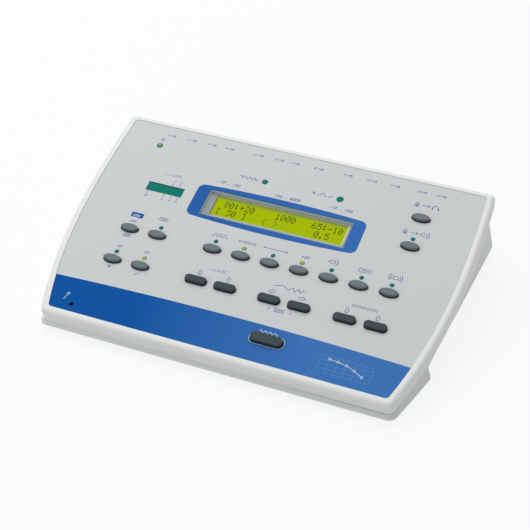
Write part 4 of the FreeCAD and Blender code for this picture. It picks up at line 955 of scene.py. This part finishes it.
def bezel_finish():
    """Painted metal with painted light that makes it paler at its rim against the walls' shade,
    and a pale strip round the opening that painted shade makes faint on the left and at the
    bottom.
    """
    material, place = new_finish("display_bezel", {"Specular IOR Level": 0.3})
    u, v, _n = on_panel(place)
    centre = [(a + b) / 2 for a, b in zip(VIEW_LOW, VIEW_HIGH)]
    half = [(b - a) / 2 for a, b in zip(VIEW_LOW, VIEW_HIGH)]
    away = rounded_shape(u, v, centre, half, VIEW_CORNER)
    lit_strip = printed(away - OPENING_STRIP_WIDTH) * v.falling(VIEW_HIGH[1] + OPENING_STRIP_EDGE, OPENING_STRIP_EDGE)
    # Painted light and shade: the strip is faint on the left and at the bottom.
    lit_strip = lit_strip * u.rising(VIEW_LOW[0], STRIP_LIGHT_FADE).scaled(*STRIP_LIGHT_SHARES)
    lit_strip = lit_strip * v.rising(VIEW_LOW[1], STRIP_LOW_LIGHT_FADE).scaled(*STRIP_LOW_LIGHT_SHARES)
    # Painted light: paler towards the walls, darker near the glass.
    rim = u.falling(VIEW_LOW[0] - BEZEL_INNER, BEZEL_LIT_RIM)
    rim = rim.most(v.rising(VIEW_HIGH[1], BEZEL_LIT_TOP_RIM))
    grey = rim.between(*[shaded(BEZEL_GREY, share) for share in BEZEL_LIGHT_SHARES])
    fine = grain(place, BEZEL_GRAIN)
    return feed(material, {
        "Base Color": lit_strip.between(grey, OPENING_STRIP_PALE),
        "Roughness": fine.scaled(0.42, 0.54), "Normal": bumped(fine, BEZEL_GRAIN_DEPTH)})


def glass_finish():
    """Glass in front of the backlight: bright in the middle, with a painted shadow of the bezel's
    edge along its top and left.
    """
    material, place = new_finish("display_glass", {"IOR": 1.5, "Specular IOR Level": 0.01,
                                                   "Emission Strength": 0.82})
    u, v, _n = on_panel(place)
    clouds = grain(place, GLASS_CLOUD)
    # Painted shadow of the bezel's edge, along the left and the top.
    open_u = u.rising(VIEW_LOW[0], GLASS_SHADOW_REACH[0])
    open_v = v.falling(VIEW_HIGH[1], GLASS_SHADOW_REACH[1])
    glow = (open_v.least(open_u) * GLASS_GLOW + clouds * GLASS_CLOUDS).clipped()
    return feed(material, {
        "Base Color": clouds.between(shaded(GLASS_BODY, 0.9), GLASS_BODY),
        "Roughness": clouds.scaled(0.12, 0.17),
        "Emission Color": glow.between(GLASS_EDGE_SHADOW, GLASS_GREEN)})


def dot_finish():
    """Darkened liquid crystal, a little uneven."""
    material, place = new_finish("display_dots", {"Specular IOR Level": 0.04,
                                                  "Emission Strength": 0.4})
    cover = grain(place, DOT_CLOUD)
    dark = cover.between(shaded(DOT_COLOUR, 0.8), DOT_COLOUR)
    return feed(material, {
        "Base Color": dark, "Emission Color": dark, "Roughness": cover.scaled(0.3, 0.4)})


def dot_tree(material):
    """A small flat dot at every point."""
    wires = new_tree("display_dots", {"Width": DOT_SIZE[0], "Height": DOT_SIZE[1]})
    points = wires["Geometry"]
    dot = points.node("GeometryNodeMeshGrid", {},
                      {"Size X": wires["Width"], "Size Y": wires["Height"],
                       "Vertices X": 2, "Vertices Y": 2})
    dots = points.node("GeometryNodeInstanceOnPoints", {}, {"Points": points, "Instance": dot})
    return close_tree(dots, material)


def character_points():
    """Middles of the dark dots, in panel millimetres."""
    points = []
    for row, first, text in SHOWN:
        for index, character in enumerate(text):
            centre = FIRST_CELL + CELL_STEP * (first + index)
            for line, bits in enumerate(DOT_ROWS[character]):
                points += [(centre + (column - 2) * DOT_STEP[0],
                            ROW_HEIGHTS[row] + (3 - line) * DOT_STEP[1], 0.0)
                           for column in range(5) if bits >> (4 - column) & 1]
    return points


def show_characters():
    """The dark dots of both lines, just over the glass."""
    glass_low, glass_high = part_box("display_glass")
    middle = PANEL.inverted() @ ((glass_low + glass_high) / 2)
    face = middle.z / MM + GLASS_THICKNESS / 2
    seed = bpy.data.meshes.new("dots")
    seed.from_pydata(character_points(), [], [])
    dots = grown("display_characters", seed, dot_tree(dot_finish()), {"Width": DOT_SIZE[0]})
    rise = Matrix.Translation((0.0, 0.0, face + DOT_RISE))
    dots.data.transform(PANEL @ Matrix.Scale(MM, 4) @ rise)
    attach(dots, "case")


dress(bezel_finish(), "display_frame")
dress(glass_finish(), "display_glass")
dress(moulded("light_guide", GUIDE_COLOUR, roughness=0.35, grain_size=0.5 * MM,
              grain_depth=0.01 * MM), "display_backlight")
show_characters()

# ---------- circuit boards
# Glass-fibre boards with green solder mask over a net of copper tracks, and on them chips,
# headers and tact switches in black mouldings, and capacitors in aluminium cans.  A grey
# ribbon cable joins the key board to the main board.
MASK_GREEN = paint(22, 98, 56)
TRACK_GREEN = paint(44, 132, 76)
CHIP_BLACK = paint(34, 35, 37)
CAN_SILVER = paint(176, 180, 184)
RIBBON_GREY = paint(150, 154, 156)
RIBBON_PITCH = 1.27
TRACK_CELL = 5 * MM
TRACK_HALF = 0.09
TRACK_RISE = 0.03 * MM
MASK_CLOUD = 12 * MM
CAN_HEIGHT = 6.4 * MM
CAN_EDGE = 0.1 * MM
CAN_METAL = 0.9
MOULDING_GRAIN = 0.25 * MM
MOULDING_GRAIN_DEPTH = 0.006 * MM
RIB_RISE = 0.3 * MM


def board_finish():
    """Solder mask that stands up a little over the tracks."""
    material, place = new_finish("circuit_board", {"IOR": 1.5})
    cells = place.node("ShaderNodeTexVoronoi", {"feature": "DISTANCE_TO_EDGE"},
                       {"Vector": place, "Scale": 1 / TRACK_CELL})
    track = cells.falling(TRACK_HALF, TRACK_HALF)
    clouds = grain(place, MASK_CLOUD)
    mask = clouded(clouds, MASK_GREEN, 0.1)
    return feed(material, {
        "Base Color": track.between(mask, TRACK_GREEN),
        "Roughness": clouds.scaled(0.28, 0.4), "Normal": bumped(track, TRACK_RISE)})


def component_finish():
    """Black mouldings, and above their height the bare cans of the capacitors."""
    material, place = new_finish("board_components", {"IOR": 1.5})
    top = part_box("board_components")[1].z
    can = place.part(2).rising(top - CAN_HEIGHT, CAN_EDGE)
    fine = grain(place, MOULDING_GRAIN)
    return feed(material, {
        "Base Color": can.between(CHIP_BLACK, CAN_SILVER), "Metallic": can * CAN_METAL,
        "Roughness": fine.scaled(0.42, 0.57), "Normal": bumped(fine, MOULDING_GRAIN_DEPTH)})


def ribbon_finish():
    """Grey insulation with a rib over every wire, and painted shade in the grooves between them.
    """
    material, place = new_finish("ribbon_cable", {"IOR": 1.5, "Specular IOR Level": 0.3})
    core = (place.part(0) / (RIBBON_PITCH * MM)).fraction()
    rib = abs(core - 0.5) * 2
    # Painted shade: the grooves between the wires are darker.
    return feed(material, {
        "Base Color": rib.between(RIBBON_GREY, shaded(RIBBON_GREY, 0.6)),
        "Roughness": rib.scaled(0.45, 0.55), "Normal": bumped(1 - rib, RIB_RISE)})


black_moulding = moulded("black_moulding", CHIP_BLACK, roughness=0.45,
                         grain_size=MOULDING_GRAIN, grain_depth=0.008 * MM, variation=0.1)
dress(board_finish(), "display_board", "key_board", "main_board")
dress(component_finish(), "board_components")
dress(black_moulding, "tact_switches", "cable_headers")
dress(ribbon_finish(), "flat_cable")

# ---------- screws
# Zinc-plated pan-head screws with a cross recess.  The six case screws go up through the base
# into the cover's bosses, and the boards' screws are driven into posts.
STEEL_ZINC = paint(176, 178, 182)
WORN_ZINC = shaded(STEEL_ZINC, 0.85)
HEAD_RADIUS = 2.7
HEAD_HEIGHT = 1.9
HEAD_CROWN = 0.55
HEAD_TAPER = 0.7
HEAD_SIDES = 40
SHANK_RADIUS = 1.45
SHANK_LENGTH = 7.0
SHANK_SIDES = 24
RECESS_SPAN = 3.1
RECESS_SLOT = 0.62
RECESS_DEEP = 1.1
RECESS_TURN = 0.4


def separate_boxes(name):
    """Lowest and highest corners of each separate solid of a CAD node, always in one order."""
    mesh = frame["nodes"][name].data
    joined = bmesh.new()
    joined.from_mesh(mesh)
    bmesh.ops.remove_doubles(joined, verts=joined.verts, dist=1e-6)
    left = set(joined.verts)
    boxes = []
    while left:
        front = [left.pop()]
        found = list(front)
        while front:
            for edge in front.pop().link_edges:
                for vert in edge.verts:
                    if vert in left:
                        left.remove(vert)
                        front.append(vert)
                        found.append(vert)
        corners = [[getattr(v.co, axis) for v in found] for axis in "xyz"]
        boxes.append((Vector([min(c) for c in corners]), Vector([max(c) for c in corners])))
    joined.free()
    return sorted(boxes, key=lambda box: box[0].to_tuple())


def screw_tree(material):
    """A pan-head screw at every point, its head down: head, crown, cross recess and shank."""
    wires = new_tree("case_screw", {"Head radius": HEAD_RADIUS * MM,
                                    "Head height": HEAD_HEIGHT * MM,
                                    "Shank radius": SHANK_RADIUS * MM,
                                    "Shank length": SHANK_LENGTH * MM})
    points = wires["Geometry"]

    def at(mesh, height, turn=0.0):
        """A solid moved up, and turned about the screw's axis."""
        place = points.node("ShaderNodeCombineXYZ", {}, {"Z": height})
        return mesh.node("GeometryNodeTransform", {},
                         {"Geometry": mesh, "Translation": place, "Rotation": (0.0, 0.0, turn)})

    crown = HEAD_CROWN * MM
    rim = points.node("GeometryNodeMeshCylinder", {},
                      {"Vertices": HEAD_SIDES, "Radius": wires["Head radius"],
                       "Depth": wires["Head height"] - crown})
    rim = at(rim, (wires["Head height"] - crown) * 0.5 + crown)
    dome = points.node("GeometryNodeMeshCone", {},
                       {"Vertices": HEAD_SIDES, "Radius Top": wires["Head radius"],
                        "Radius Bottom": wires["Head radius"] * HEAD_TAPER, "Depth": crown})
    shank = points.node("GeometryNodeMeshCylinder", {},
                        {"Vertices": SHANK_SIDES, "Radius": wires["Shank radius"],
                         "Depth": wires["Shank length"]})
    shank = at(shank, wires["Shank length"] * 0.5 + wires["Head height"])
    body = points.node("GeometryNodeMeshBoolean", {"operation": "UNION", "solver": "EXACT"},
                       {"Mesh 2": rim})
    for piece in (dome, shank):
        body.tree.links.new(piece.socket, body.socket.node.inputs["Mesh 2"])
    cuts = [points.node("GeometryNodeMeshCube", {},
                        {"Size": (RECESS_SPAN * MM, RECESS_SLOT * MM, 2 * RECESS_DEEP * MM)})
            for _arm in range(2)]
    body = points.node("GeometryNodeMeshBoolean", {"operation": "DIFFERENCE", "solver": "EXACT"},
                       {"Mesh 1": body})
    for turn, arm in enumerate(cuts):
        turned = at(arm, 0.0, RECESS_TURN + turn * math.pi / 2)
        body.tree.links.new(turned.socket, body.socket.node.inputs["Mesh 2"])
    screws = points.node("GeometryNodeInstanceOnPoints", {}, {"Points": points, "Instance": body})
    return close_tree(screws, material)


def fit_case_screws(material):
    """A detailed screw in the place of every plain one."""
    seed = bpy.data.meshes.new("screw_places")
    seed.from_pydata([((low.x + high.x) / 2, (low.y + high.y) / 2, low.z)
                      for low, high in separate_boxes("case_screws")], [], [])
    screws = grown("case_screw_set", seed, screw_tree(material),
                   {"Shank length": SHANK_LENGTH * MM})
    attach(screws, "case")
    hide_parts("case_screws")


zinc = metal("zinc_steel", WORN_ZINC, STEEL_ZINC, spots=0.8 * MM, roughness=(0.28, 0.48))
dress(zinc, "case_screws", "display_screws", "key_board_screws", "main_board_screws")
fit_case_screws(zinc)

# ---------- rear sockets
# A satin panel in the recess with a number over each socket.  The jacks are black mouldings
# with nickel-plated threaded noses and slotted ring nuts.
JACKS = [name for name in frame["nodes"] if name.endswith("_jack")]
PANEL_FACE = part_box("connector_panel")[1].y
NICKEL = paint(196, 194, 188)
WORN_NICKEL = shaded(NICKEL, 0.92)
SOCKET_BLACK = paint(30, 31, 33)
THREAD_PITCH = 0.5
THREAD_DEPTH = 0.12
SOCKET_GRAIN = 0.3 * MM
PLATED_FROM = PANEL_FACE - 3 * MM
PLATED_EDGE = 0.05 * MM
NUMBER_HEIGHT = 2.2
NUMBER_AT = 30.7
NUMBER_WEIGHT = 0.25
BRACKET_TOP = 1.8
BRACKET_FOOT = 2.4
BRACKET_SHARE = 0.7


def jack_finish():
    """Black moulding whose nose, from a little inside the panel on, is threaded and plated."""
    material, place = new_finish("jack", {"IOR": 1.5})
    along = place.part(1)
    plated = along.rising(PLATED_FROM, PLATED_EDGE)
    turn = (along / (THREAD_PITCH * MM)).fraction()
    groove = abs(turn - 0.5) * 2 * plated
    fine = grain(place, SOCKET_GRAIN)
    return feed(material, {
        "Base Color": plated.between(SOCKET_BLACK, NICKEL), "Metallic": plated,
        "Roughness": fine.scaled(0.3, 0.42), "Normal": bumped(groove, THREAD_DEPTH * MM)})


def number_sockets():
    """Numbers over the sockets, read from behind, with a bracket over each socket."""
    turned = Matrix(((-1.0, 0.0, 0.0, 0.0), (0.0, 0.0, 1.0, PANEL_FACE), (0.0, 1.0, 0.0, 0.0),
                     (0.0, 0.0, 0.0, 1.0)))
    words = [(str(i + 1), -x, NUMBER_AT, NUMBER_HEIGHT) for i, (x, _half) in enumerate(SOCKETS)]
    foot, top = NUMBER_AT - BRACKET_FOOT, NUMBER_AT - BRACKET_TOP
    lines = [[(-x - BRACKET_SHARE * half, foot), (-x - BRACKET_SHARE * half, top),
              (-x + BRACKET_SHARE * half, top), (-x + BRACKET_SHARE * half, foot)]
             for x, half in SOCKETS]
    blue = ink("rear_ink", INK_BLUE)
    inked("rear_numbers", words, lines, blue, turned, NUMBER_WEIGHT)


dress(moulded("rear_panel", shaded(CASE_COLOUR, 0.9), roughness=0.5, grain_size=CASE_GRAIN,
              grain_depth=CASE_GRAIN_DEPTH), "connector_panel")
dress(jack_finish(), *JACKS)
dress(metal("nickel_plate", WORN_NICKEL, NICKEL, spots=1.5 * MM, roughness=(0.24, 0.36)),
      "jack_nuts", "usb_socket")
dress(black_moulding, "data_socket", "power_socket")
number_sockets()

# ---------- feet
# Four round feet of black rubber with a rounded lower edge, moulded and then stuck into
# their seats in the underside.
FEET = [name for name in frame["nodes"] if name.startswith("rubber_foot")]
FOOT_BLACK = paint(38, 38, 39)
dress(moulded("foot_rubber", FOOT_BLACK, roughness=0.75, grain_size=0.35 * MM,
              grain_depth=0.03 * MM, variation=0.1), *FEET)
